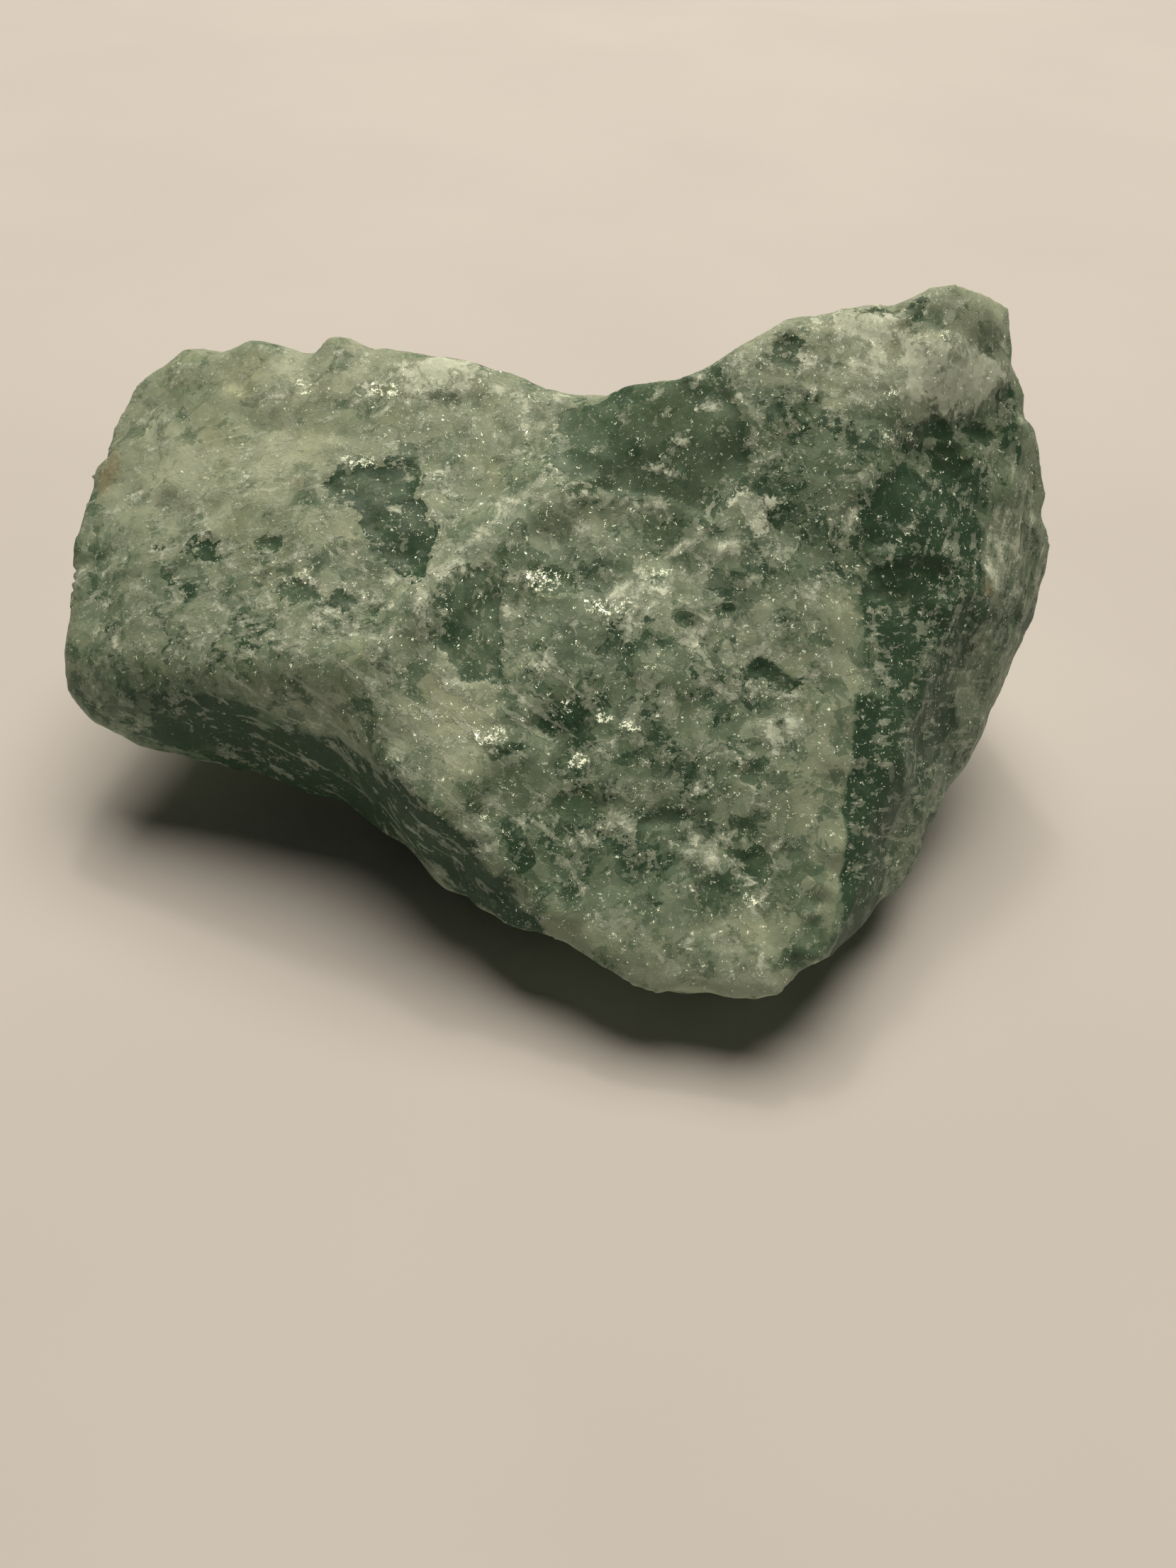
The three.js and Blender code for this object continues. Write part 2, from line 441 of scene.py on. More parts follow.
OUTLINES: tuple[Outline, ...] = (
    # clear stone on the sloping main face
    Outline(
        Kind.WINDOW,
        (
            (799, 574), (851, 563), (1008, 520), (1058, 604), (1050, 687),
            (1008, 733), (907, 700), (815, 696), (775, 655),
        ),
    ),
    Outline(
        Kind.WINDOW,
        (
            (592, 862), (615, 827), (686, 793), (714, 871), (698, 917),
            (707, 956), (657, 970), (622, 912),
        ),
    ),
    Outline(Kind.WINDOW, ((903, 1148), (972, 1139), (980, 1158), (950, 1168), (908, 1176))),
    Outline(Kind.WINDOW, ((1040, 1082), (1074, 1074), (1082, 1098), (1062, 1115), (1042, 1108))),
    Outline(Kind.WINDOW, ((1031, 1205), (1070, 1198), (1088, 1222), (1066, 1246), (1036, 1238))),
    Outline(Kind.WINDOW, ((983, 1245), (1020, 1240), (1033, 1268), (1012, 1293), (990, 1280))),
    Outline(Kind.WINDOW, ((777, 1122), (820, 1108), (855, 1132), (840, 1158), (790, 1152))),
    Outline(Kind.DEEP, ((1045, 952), (1073, 934), (1121, 963), (1144, 978), (1087, 974))),
    # the greener middle of the sloping face, and the duller stone above the ledge
    Outline(
        Kind.MIDDLE,
        (
            (705, 1002), (711, 966), (771, 942), (771, 881), (813, 893), (874, 869), (922, 863),
            (976, 905), (1031, 936), (1007, 978), (922, 1002), (862, 1002), (813, 1026), (759, 1062),
        ),
    ),
    Outline(
        Kind.MIDDLE,
        ((1075, 790), (1082, 690), (1110, 640), (1160, 650), (1208, 720), (1205, 800), (1120, 830)),
    ),
    Outline(
        Kind.MIDDLE,
        ((1064, 600), (1062, 556), (1120, 552), (1180, 590), (1216, 640), (1160, 650), (1110, 640)),
    ),
    Outline(Kind.CRUST, ((934, 872), (1000, 850), (1079, 862), (1073, 900), (1043, 948), (982, 912))),
    # the dark undercut, painted shade where the lobe overhangs, and the foot of the right face
    Outline(
        Kind.SHADE,
        (
            (400, 1040), (500, 1065), (570, 1110), (640, 1180), (700, 1245), (760, 1312),
            (719, 1303), (619, 1220), (531, 1170), (470, 1128), (400, 1100),
        ),
    ),
    Outline(Kind.SHADE, ((215, 985), (300, 990), (400, 1040), (400, 1100), (310, 1075), (230, 1040))),
    Outline(
        Kind.SHADE,
        (
            (1214, 985), (1262, 1000), (1268, 1100), (1250, 1200), (1225, 1290),
            (1180, 1345), (1197, 1200), (1211, 1080),
        ),
    ),
    # clear stone on the left lobe
    Outline(Kind.DEEP, ((500, 708), (602, 700), (612, 752), (602, 822), (552, 786))),
    Outline(Kind.DEEP, ((443, 682), (481, 659), (545, 650), (592, 658), (590, 702), (511, 715))),
    Outline(Kind.DEEP, ((217, 770), (264, 773), (295, 756), (306, 761), (300, 792), (276, 778))),
    Outline(Kind.WINDOW, ((396, 829), (425, 819), (455, 835), (447, 852), (405, 859))),
    Outline(Kind.WINDOW, ((478, 838), (511, 846), (536, 860), (528, 868), (495, 857))),
    Outline(Kind.WINDOW, ((358, 762), (388, 752), (399, 758), (390, 771), (358, 776))),
    # clear stone on the right face
    Outline(Kind.DEEP, ((1287, 602), (1313, 590), (1334, 595), (1348, 612), (1340, 628), (1304, 626))),
    Outline(Kind.DEEP, ((1307, 631), (1345, 628), (1372, 651), (1357, 672), (1363, 688), (1316, 675))),
    Outline(Kind.DEEP, ((1358, 612), (1383, 598), (1406, 618), (1396, 630))),
    Outline(
        Kind.DEEP,
        ((1226, 700), (1250, 668), (1293, 664), (1304, 690), (1290, 733), (1281, 771), (1224, 774)),
    ),
    Outline(
        Kind.DEEP,
        ((1213, 842), (1237, 798), (1287, 788), (1334, 786), (1338, 808), (1287, 857)),
    ),
    # a dark sliver on the horn's top, and its green facets
    Outline(Kind.WINDOW, ((1196, 446), (1245, 434), (1300, 428), (1314, 434), (1290, 444), (1240, 448))),
    Outline(Kind.CLOUDY, ((1085, 490), (1130, 468), (1185, 478), (1200, 510), (1160, 540), (1100, 532))),
    Outline(Kind.CLOUDY, ((1300, 450), (1375, 436), (1408, 470), (1400, 494), (1335, 486))),
    Outline(Kind.MIDDLE, ((1408, 560), (1428, 545), (1440, 640), (1428, 650))),
    # smooth facets on the left lobe
    Outline(
        Kind.CLOUDY,
        ((238, 560), (290, 545), (345, 560), (385, 590), (360, 625), (290, 630), (245, 600)),
    ),
    Outline(Kind.CLOUDY, ((420, 570), (470, 562), (512, 578), (506, 604), (450, 612), (424, 598))),
    Outline(Kind.CLOUDY, ((322, 735), (380, 720), (416, 748), (400, 790), (340, 792))),
    Outline(Kind.MIDDLE, ((212, 800), (250, 792), (284, 810), (270, 846), (224, 842))),
    Outline(Kind.MIDDLE, ((320, 880), (360, 872), (392, 890), (384, 918), (336, 914))),
    Outline(Kind.MIDDLE, ((464, 846), (500, 838), (536, 856), (540, 884), (490, 880))),
    Outline(Kind.CLOUDY, ((560, 905), (600, 900), (625, 960), (600, 990), (565, 960))),
    # white crumbs and scale
    Outline(
        Kind.FROST,
        ((832, 905), (850, 868), (872, 800), (905, 812), (930, 838), (915, 875), (870, 890)),
    ),
    Outline(Kind.CREAM, ((1035, 700), (1075, 692), (1090, 715), (1080, 755), (1058, 748))),
    Outline(Kind.FROST, ((736, 920), (752, 914), (778, 950), (770, 956), (740, 934))),
    Outline(Kind.FROST, ((655, 1040), (678, 1022), (706, 1026), (724, 1060), (700, 1065))),
    Outline(Kind.FROST, ((1046, 1044), (1050, 1022), (1100, 1008), (1140, 1010), (1130, 1050), (1090, 1058))),
    Outline(Kind.FROST, ((944, 1193), (975, 1202), (1000, 1199), (1010, 1245), (990, 1228), (962, 1216))),
    Outline(Kind.FROST, ((847, 1172), (862, 1142), (880, 1158), (872, 1178))),
    Outline(
        Kind.CREAM,
        ((1256, 548), (1290, 504), (1350, 488), (1404, 502), (1414, 545), (1360, 578), (1296, 570)),
    ),
    Outline(Kind.FROST, ((1392, 752), (1420, 718), (1440, 735), (1432, 790), (1400, 795))),
    Outline(Kind.FROST, ((290, 690), (318, 664), (372, 672), (345, 690), (300, 712))),
    Outline(Kind.CREAM, ((560, 520), (620, 506), (660, 520), (695, 548), (640, 545))),
)

PATCHES: tuple[Patch, ...] = (
    # the sloping main face
    Patch(Kind.WINDOW, (787, 823), (24, 20)),
    Patch(Kind.WINDOW, (1052, 1166), (16, 11)),
    Patch(Kind.MIDDLE, (815, 958), (64, 40)),
    Patch(Kind.MIDDLE, (830, 1180), (100, 90)),
    Patch(Kind.MIDDLE, (740, 1080), (60, 90)),
    Patch(Kind.MIDDLE, (960, 1210), (90, 80)),
    Patch(Kind.MIDDLE, (1130, 700), (50, 60)),
    Patch(Kind.PALE, (640, 970), (75, 50)),
    Patch(Kind.CRUST, (620, 800), (35, 30)),
    Patch(Kind.FROST, (816, 679), (10, 6)),
    Patch(Kind.FROST, (831, 697), (8, 5)),
    Patch(Kind.FROST, (925, 662), (7, 4)),
    Patch(Kind.FROST, (960, 618), (8, 4)),
    Patch(Kind.FROST, (1021, 773), (24, 13)),
    Patch(Kind.CRUST, (966, 887), (55, 32)),
    Patch(Kind.CRUST, (929, 1120), (30, 16)),
    # the pale strip left of the upright edge: partly painted glow where light shines through the thin edge
    Patch(Kind.BAND, (1196, 960), (24, 100)),
    Patch(Kind.BAND, (1162, 1180), (42, 170)),
    # the pale lip along the bottom tip, in this patch and the next: partly painted glow where light shines
    # through the thin edge
    Patch(Kind.CLOUDY, (830, 1330), (60, 30)),
    Patch(Kind.PALE, (1010, 1388), (110, 26)),
    Patch(Kind.PALE, (640, 1030), (70, 60)),
    Patch(Kind.FROST, (1148, 1290), (14, 9)),
    Patch(Kind.PALE, (1045, 1327), (40, 22)),
    # the notch and the strip behind it
    Patch(Kind.CRUST, (690, 560), (120, 40)),
    Patch(Kind.FROST, (610, 535), (95, 30)),
    # the left lobe
    Patch(Kind.PALE, (390, 560), (120, 60)),
    Patch(Kind.PALE, (300, 660), (110, 70)),
    Patch(Kind.PALE, (470, 500), (55, 25)),
    # painted shade on the undercut below the lobe
    Patch(Kind.SHADE, (320, 1015), (120, 36)),
    Patch(Kind.MIDDLE, (170, 975), (80, 40)),
    Patch(Kind.CLOUDY, (120, 930), (60, 34)),
    # painted shade on the undercut below the lobe
    Patch(Kind.SHADE, (450, 1080), (80, 34)),
    Patch(Kind.SHADE, (560, 1150), (60, 40)),
    Patch(Kind.SHADE, (650, 1235), (50, 36)),
    Patch(Kind.CRUST, (250, 900), (120, 50)),
    Patch(Kind.FROST, (376, 800), (16, 6)),
    Patch(Kind.FROST, (423, 814), (20, 4)),
    Patch(Kind.RUST, (418, 676), (5, 5)),
    Patch(Kind.RUST, (152, 668), (12, 34)),
    # the horn and the right face
    Patch(Kind.FROST, (1340, 520), (84, 44)),
    Patch(Kind.PALE, (1320, 505), (90, 46)),
    Patch(Kind.FROST, (1215, 505), (90, 45)),
    Patch(Kind.PALE, (1385, 440), (50, 30)),
    Patch(Kind.PALE, (1136, 616), (30, 20)),
    Patch(Kind.MIDDLE, (1198, 700), (25, 90)),
    Patch(Kind.PALE, (1158, 491), (65, 34)),
    Patch(Kind.CREAM, (1232, 452), (40, 12)),
    Patch(Kind.SHADE, (1240, 1064), (16, 44)),
    Patch(Kind.SHADE, (1225, 1230), (30, 80)),
    Patch(Kind.WINDOW, (1293, 1000), (15, 10)),
    Patch(Kind.WINDOW, (1457, 689), (8, 18)),
    Patch(Kind.CRUST, (1418, 790), (40, 62)),
    Patch(Kind.FROST, (1402, 795), (20, 46)),
    Patch(Kind.CRUST, (1370, 970), (30, 78)),
    Patch(Kind.RUST, (1392, 830), (12, 12)),
    # bright flakes: shiny leaning flakes, also painted near-white as painted glints
    Patch(Kind.GLINT, (430, 545), (17, 12)),
    Patch(Kind.GLINT, (535, 552), (30, 14)),
    Patch(Kind.GLINT, (505, 648), (27, 12)),
    Patch(Kind.GLINT, (421, 816), (27, 8)),
    Patch(Kind.GLINT, (770, 818), (27, 16)),
    Patch(Kind.GLINT, (855, 856), (36, 14)),
    Patch(Kind.GLINT, (930, 808), (20, 10)),
    Patch(Kind.GLINT, (813, 1073), (15, 10)),
    Patch(Kind.GLINT, (850, 1014), (15, 8)),
    Patch(Kind.GLINT, (1055, 1275), (14, 12)),
    Patch(Kind.GLINT, (1250, 617), (14, 10)),
    Patch(Kind.GLINT, (690, 1040), (24, 16)),
    Patch(Kind.GLINT, (1325, 472), (14, 8)),
    Patch(Kind.GLINT, (1328, 698), (9, 5)),
    Patch(Kind.GLINT, (1287, 616), (14, 6)),
    Patch(Kind.GLINT, (1256, 553), (12, 8)),
    Patch(Kind.GLINT, (885, 1025), (20, 9)),
    Patch(Kind.GLINT, (800, 1000), (12, 9)),
)


@dataclass(frozen=True)
class Line:
    """A line along the surface, given by its pixels in turn."""

    pixels: tuple[Pixel, ...]

    def places(self, stone: Stone) -> Array:
        """Finds where the line's points lie on the stone, in mm."""
        return np.stack([stone.seen(pixel) for pixel in self.pixels])

    def distance(self, stone: Stone, points: Array) -> Array:
        """Measures how far places lie from the line.

        Args:
            stone: The surface on which the pixels land.
            points: Places in mm.

        Returns:
            Distances in mm.
        """
        along = self.places(stone)
        spans = [span_distance(points - a, b - a) for a, b in zip(along, along[1:])]
        return np.min(spans, axis=0)


# The upright edge between the sloping face and the right face, from its top
RIDGE = Line(((1290, 575), (1232, 640), (1218, 760), (1218, 900), (1210, 1040), (1195, 1180), (1172, 1330)))

# The ragged edge where the left lobe's crust ends above the clearer stone
CRUST_EDGE = Line(
    ((774, 665), (735, 705), (685, 750), (640, 790), (597, 820), (592, 885), (620, 950), (660, 980))
)

# The lower edge of the left lobe, which is worn round
WORN_EDGE = Line(((140, 930), (257, 940), (377, 945), (470, 1000)))

# Ledges of scale on the sloping face and on the lobe
LEDGES: tuple[Line, ...] = (
    Line(((960, 905), (990, 925), (1010, 950), (1040, 960), (1062, 930), (1080, 905))),
    Line(((1010, 690), (985, 760), (940, 790))),
    Line(((560, 1000), (640, 1010), (690, 1045), (700, 1060))),
    Line(((940, 1185), (975, 1215), (1005, 1210), (1010, 1245))),
    Line(((330, 700), (390, 690), (420, 672))),
)


@dataclass(frozen=True)
class Fibre:
    """A part of the surface where pale fibres all run one way, from one pixel to another."""

    name: str
    start: Pixel
    end: Pixel
    reach: float
    length: float
    width: float
    right_only: bool = False
    fade: Span = (1.25, 0.6)

    def run(self, stone: Stone) -> Vector:
        """Finds the way in which the fibres run on the stone."""
        return Vector(stone.seen(self.end) - stone.seen(self.start)).normalized()

    def share(self, stone: Stone, places: Array) -> Array:
        """Tells how strongly the fibres show at each place, from 0 to 1."""
        middle = (stone.seen(self.start) + stone.seen(self.end)) / 2
        away = np.linalg.norm(places - middle, axis=1)
        return ramp(away, *[self.reach * share for share in self.fade])


FIBRES: tuple[Fibre, ...] = (
    Fibre("fibre_face", (1225, 1000), (1320, 1000), 21.0, 3.8, 0.75, right_only=True),
    Fibre("fibre_rim", (1425, 740), (1385, 900), 15.0, 4.5, 0.90),
    Fibre("fibre_lobe", (330, 760), (470, 722), 19.0, 3.2, 0.80),
    Fibre("fibre_waist", (440, 960), (600, 1080), 26.0, 5.0, 1.20),
)


# The chunk's skin


@dataclass(frozen=True)
class Scatter:
    """Crisp patches strewn over the side that the photograph doesn't show."""

    mark: str
    spacing: float
    rare: float
    seed: int

    def inside(self, places: Array, hidden: Array) -> Array:
        """Measures roughly how far places lie inside the patches.

        Args:
            places: The vertices in mm, pushed about.
            hidden: How far each vertex is out of the photograph's sight, from 0 to 1.

        Returns:
            Distances in mm, above 0 inside and no less than -EDGE_REACH.
        """
        height = cloud(places, self.spacing, self.seed, octaves=3) - self.rare
        return np.maximum(height * self.spacing - 2.0 * EDGE_REACH * (1.0 - hidden), -EDGE_REACH)


@dataclass(frozen=True)
class Facets:
    """One size of the joined facets that the stone broke into.

    With hollow facets sharp crests part them, otherwise sharp valleys do.
    """

    size: float
    height: float
    seed: int
    hollow: bool


class Mesh:
    """A mesh's vertices and edges as arrays."""

    def __init__(self, mesh: bpy.types.Mesh) -> None:
        """Reads the edges of the mesh."""
        self.mesh = mesh
        self.count = len(mesh.vertices)
        ends = np.empty(len(mesh.edges) * 2, np.int64)
        mesh.edges.foreach_get("vertices", ends)
        self.first, self.last = ends.reshape(-1, 2).T
        self.friends = np.bincount(self.first, minlength=self.count)
        self.friends += np.bincount(self.last, minlength=self.count)

    def read(self, label: str) -> Array:
        """Reads a vector of every vertex, as an array of shape (n, 3)."""
        values = np.empty(self.count * 3)
        self.mesh.vertices.foreach_get(label, values)
        return values.reshape(-1, 3)

    def around(self, values: Array) -> Array:
        """Adds up what the neighbours of each vertex have.

        Args:
            values: A vector for every vertex.

        Returns:
            The sums, in the same order.
        """
        total = np.empty_like(values)
        for axis in range(3):
            total[:, axis] = np.bincount(self.first, values[self.last, axis], self.count)
            total[:, axis] += np.bincount(self.last, values[self.first, axis], self.count)
        return total


@dataclass
class StoneSkin:
    """The chunk's fine outer mesh, made from its CAD solid."""

    node: str = "fluorite_chunk"
    name: str = "fluorite_chunk_skin"
    seed: int = 11
    fields: dict[str, Array] = field(default_factory=dict)

    # The even mesh: its grid, how near corners are one, and how often it is smoothed
    grid: float = 0.54
    weld_m: float = 1e-6
    smoothing: int = 3
    smoothing_share: float = 0.5
    normal_pull: float = 2.0
    worn_smoothing: int = 110
    worn_reach: float = 9.0

    # The soft patches: what shows without them, and how they fade out
    ground: Look = Look(depth=0.48, frost=0.05, clean=0.30)
    ground_weight: float = 0.10
    region_weight: float = 0.30
    outline_weight: float = 5.0
    outline_fade: float = 0.8
    patch_fall: float = 1.5
    patch_power: float = 2.6

    # How marks are pushed about, and the clouds of tone and of crumbs
    ragged_size: float = 3.2
    ragged_reach: float = 0.8
    wide_size: float = 15.0
    wide_depth: float = 0.07
    wide_frost: float = -0.05
    middle_size: float = 6.0
    middle_depth: float = 0.08
    frosty_size: float = 5.0
    frosty_share: float = 0.10

    # The side out of sight, which starts where the surface faces this far away
    hidden_ends: Span = (-0.08, -0.30)
    hidden_depth: float = 0.30
    scatters: tuple[Scatter, ...] = (Scatter("window", 15.0, 0.22, 31), Scatter("chip", 10.0, 0.34, 36))

    # Crumbs along the lobe's crust edge and along the ledges
    edge_limit: float = 9.0
    edge_width: float = 1.0
    edge_frost: float = 0.42
    ledge_width: float = 0.7
    ledge_frost: float = 0.16

    # Where windows sink and chips rise, and how far
    window_ends: Span = (-0.2, 0.5)
    window_cloud: float = 0.4
    window_sink: float = 0.26
    window_clean: float = 0.8
    chip_ends: Span = (-0.2, 0.4)
    chip_rise: float = 0.16

    # The right face: its top and back, and how it starts at the upright edge
    ridge_top: float = 46.4
    ridge_back: float = 16.0
    side_reach: float = 3.0
    side_ends: Span = (-0.5, 0.5)

    # The broken facets: the directions that they lean in, their shape and their sizes
    cleavage: tuple[Point, ...] = (
        (0.62, -0.36, 0.70),
        (-0.58, -0.41, 0.70),
        (0.05, 0.93, 0.36),
        (0.52, 0.18, -0.83),
    )
    facet_curve: float = 0.45
    facet_turn: float = 0.18
    facet_blunt: float = 0.9
    facet_push: Span = (1.1, 0.12)
    facet_sizes: tuple[Facets, ...] = (
        Facets(size=6.5, height=0.17, seed=71, hollow=False),
        Facets(size=3.2, height=0.11, seed=81, hollow=True),
        Facets(size=1.7, height=0.09, seed=91, hollow=True),
    )

    # The finest relief, the steps of the crust, and the foot that stays flat
    grit_size: float = 1.5
    grit_height: float = 0.045
    crust_height: float = 0.06
    crust_steps: tuple[Span, ...] = ((0.02, 0.08), (0.30, 0.36))
    clean_calm: float = 0.75
    foot: Span = (0.05, 2.2)

    def build(self, stone: Stone) -> bpy.types.Object:
        """Makes the skin with its relief and its fields.

        Args:
            stone: The surface on which the marks lie.

        Returns:
            The new object, not yet dressed or riding on a body.
        """
        mesh = self.remeshed()
        places, normals = self.softened(mesh, stone)
        self.fields = self.marks(stone, places, normals)
        lift = self.relief(places, normals)
        places = places + normals * lift[:, None]
        places[:, 2] = np.maximum(places[:, 2], 0.0)
        mesh.vertices.foreach_set("co", (places * MM).ravel())
        for label, values in self.fields.items():
            layer = mesh.attributes.new(label, "FLOAT", "POINT")
            layer.data.foreach_set("value", values.astype(np.float32))
        mesh.shade_smooth()
        mesh.update()
        skin = bpy.data.objects.new(self.name, mesh)
        bpy.context.scene.collection.objects.link(skin)
        return skin

    def remeshed(self) -> bpy.types.Mesh:
        """Copies the solid and gives it an even, fine mesh.

        Returns:
            A mesh of small quads.
        """
        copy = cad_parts[self.node].data.copy()
        shell = bmesh.new()
        shell.from_mesh(copy)
        bmesh.ops.remove_doubles(shell, verts=shell.verts, dist=self.weld_m)
        shell.to_mesh(copy)
        shell.free()
        helper = bpy.data.objects.new("remesh_helper", copy)
        bpy.context.scene.collection.objects.link(helper)
        remesh = helper.modifiers.new("even_mesh", "REMESH")
        remesh.mode = "VOXEL"
        remesh.voxel_size = self.grid * MM
        graph = bpy.context.evaluated_depsgraph_get()
        fine = bpy.data.meshes.new_from_object(helper.evaluated_get(graph))
        bpy.data.objects.remove(helper)
        bpy.data.meshes.remove(copy)
        fine.materials.clear()
        fine.name = self.name
        return fine

    def softened(self, fine: bpy.types.Mesh, stone: Stone) -> tuple[Array, Array]:
        """Takes the sharp facets off, and rounds the worn edge.

        Args:
            fine: The even mesh.
            stone: The surface on which the worn edge lies.

        Returns:
            The vertices in mm and their unit normals, for relief that doesn't fold.
        """
        mesh = Mesh(fine)
        places = mesh.read("co") / MM
        normals = mesh.read("normal")
        friends = mesh.friends[:, None]
        worn = ramp(WORN_EDGE.distance(stone, places), self.worn_reach, 0.0)
        for turn in range(self.smoothing + self.worn_smoothing):
            share = self.smoothing_share
            if turn >= self.smoothing:
                share = self.smoothing_share * worn[:, None]
            places = places + share * (mesh.around(places) / friends - places)
            normals = normals + self.normal_pull * share * mesh.around(normals)
            normals /= np.linalg.norm(normals, axis=1)[:, None]
        return places, normals

    def marks(self, stone: Stone, places: Array, normals: Array) -> dict[str, Array]:
        """Works out the fields that the material reads.

        Args:
            stone: The surface on which the marks lie.
            places: The vertices in mm.
            normals: Their unit normals.

        Returns:
            Named fields: those of soft_marks, spots and crisp_marks, and ledge, side
            and the fibres.
        """
        ragged = warped(places, self.ragged_size, self.ragged_reach, self.seed)
        wide = cloud(places, self.wide_size, self.seed + 5, octaves=3)
        middle = cloud(places, self.middle_size, self.seed + 6, octaves=3)
        frosty = cloud(ragged, self.frosty_size, self.seed + 40, octaves=3)
        marks = self.soft_marks(stone, ragged) | self.spots(stone, ragged)
        marks |= self.crisp_marks(stone, ragged)
        hidden = self.hidden(stone, places, normals)
        for scatter in self.scatters:
            marks[scatter.mark] = np.maximum(marks[scatter.mark], scatter.inside(ragged, hidden))
        marks["depth"] += self.hidden_depth * hidden * wide
        marks["depth"] += self.wide_depth * wide + self.middle_depth * middle
        marks["frost"] += self.frosty_share * frosty + self.wide_frost * wide
        edge = np.minimum(CRUST_EDGE.distance(stone, ragged), self.edge_limit)
        ledge = np.min([line.distance(stone, ragged) for line in LEDGES], axis=0)
        along = self.edge_frost * np.exp(-((edge / self.edge_width) ** 2))
        along += self.ledge_frost * np.exp(-((ledge / self.ledge_width) ** 2))
        marks["frost"] += along
        marks["ledge"] = np.minimum(np.minimum(edge, ledge), EDGE_REACH)
        opened = ramp(marks["window"] + self.window_cloud * middle, *self.window_ends)
        chipped = ramp(marks["chip"], *self.chip_ends)
        marks["sink"] += self.window_sink * opened - self.chip_rise * chipped
        marks["clean"] += (self.window_clean - marks["clean"]) * opened
        marks["side"] = self.side(stone, places)
        right = ramp(marks["side"], *self.side_ends)
        for fibre in FIBRES:
            share = fibre.share(stone, places)
            marks[fibre.name] = share * right if fibre.right_only else share
        return marks

    def hidden(self, stone: Stone, places: Array, normals: Array) -> Array:
        """Tells how far each vertex is out of the photograph's sight.

        Args:
            stone: The stone with the view from which it was photographed.
            places: The vertices in mm.
            normals: Their unit normals.

        Returns:
            Numbers from 0 to 1.
        """
        toward = np.array(stone.view.eye) - places
        facing = (toward * normals).sum(axis=1) / np.linalg.norm(toward, axis=1)
        return ramp(facing, *self.hidden_ends)

    def soft_marks(self, stone: Stone, places: Array) -> dict[str, Array]:
        """Blends the looks of the patches that fade into each other.

        Args:
            stone: The surface on which the patches lie.
            places: The vertices in mm, pushed about.

        Returns:
            The fields depth, frost, clean and sink.
        """
        weight = np.full(len(places), self.ground_weight)
        totals = {label: weight * getattr(self.ground, label) for label in LOOK_FIELDS}
        for look, share in self.soft_shares(stone, places):
            weight = weight + share
            for label in LOOK_FIELDS:
                totals[label] += share * getattr(look, label)
        return {label: total / weight for label, total in totals.items()}

    def soft_shares(self, stone: Stone, places: Array) -> Iterator[tuple[Look, Array]]:
        """Tells how strongly each soft patch shows at each place.

        Args:
            stone: The surface on which the patches lie.
            places: The vertices in mm, pushed about.

        Yields:
            Each patch's look and its shares.
        """
        for patch in REGIONS + PATCHES:
            if patch.kind in CLEAR_KINDS + SPOT_KINDS:
                continue
            share = np.exp(-self.patch_fall * patch.distance(stone, places) ** self.patch_power)
            yield LOOKS[patch.kind], share * (self.region_weight if patch in REGIONS else 1.0)
        for outline in OUTLINES:
            if outline.kind in CLEAR_KINDS + WHITE_KINDS:
                continue
            share = ramp(outline.inside(stone, places), -self.outline_fade, self.outline_fade)
            yield LOOKS[outline.kind], self.outline_weight * share

    def spots(self, stone: Stone, places: Array) -> dict[str, Array]:
        """Works out where the glints and the rust show.

        Args:
            stone: The surface on which they lie.
            places: The vertices in mm, pushed about.

        Returns:
            The fields glint and rust, from 0 to 1.
        """
        result = {}
        for kind, ends in SPOT_ENDS.items():
            spots = [patch for patch in PATCHES if patch.kind is kind]
            shares = [ramp(patch.distance(stone, places), *ends) for patch in spots]
            result[kind.name.lower()] = np.max(shares, axis=0)
        return result

    def crisp_marks(self, stone: Stone, places: Array) -> dict[str, Array]:
        """Measures the distance to the crisp edges of clear and of white patches.

        Args:
            stone: The surface on which the patches lie.
            places: The vertices in mm, pushed about.

        Returns:
            The fields window and chip in mm, and level and white, which say how dark
            the clear stone and how white the crumbs are.
        """
        window = np.full(len(places), -EDGE_REACH)
        level = np.full(len(places), LOOKS[Kind.WINDOW].depth)
        chip = np.full(len(places), -EDGE_REACH)
        white = np.full(len(places), LOOKS[Kind.FROST].frost)
        for patch in OUTLINES + PATCHES:
            if patch.kind not in CLEAR_KINDS + WHITE_KINDS:
                continue
            inside = patch.inside(stone, places)
            look = LOOKS[patch.kind]
            if patch.kind in CLEAR_KINDS:
                level = np.where(inside > window, look.depth, level)
                window = np.maximum(window, inside)
            else:
                white = np.where(inside > chip, look.frost, white)
                chip = np.maximum(chip, inside)
        return {"window": window, "level": level, "chip": chip, "white": white}

    def side(self, stone: Stone, places: Array) -> Array:
        """Tells on which side of the upright edge places lie.

        Args:
            stone: The surface on which the edge lies.
            places: The vertices in mm.

        Returns:
            Distances in mm, which are above 0 on the right face.
        """
        line = RIDGE.places(stone)[::-1]
        across = places[:, 0] - np.interp(places[:, 2], line[:, 2], line[:, 0])
        top = self.ridge_top - places[:, 2]
        back = self.ridge_back - places[:, 1]
        within = np.minimum(across, np.minimum(top, back))
        return np.clip(within, -self.side_reach, self.side_reach)

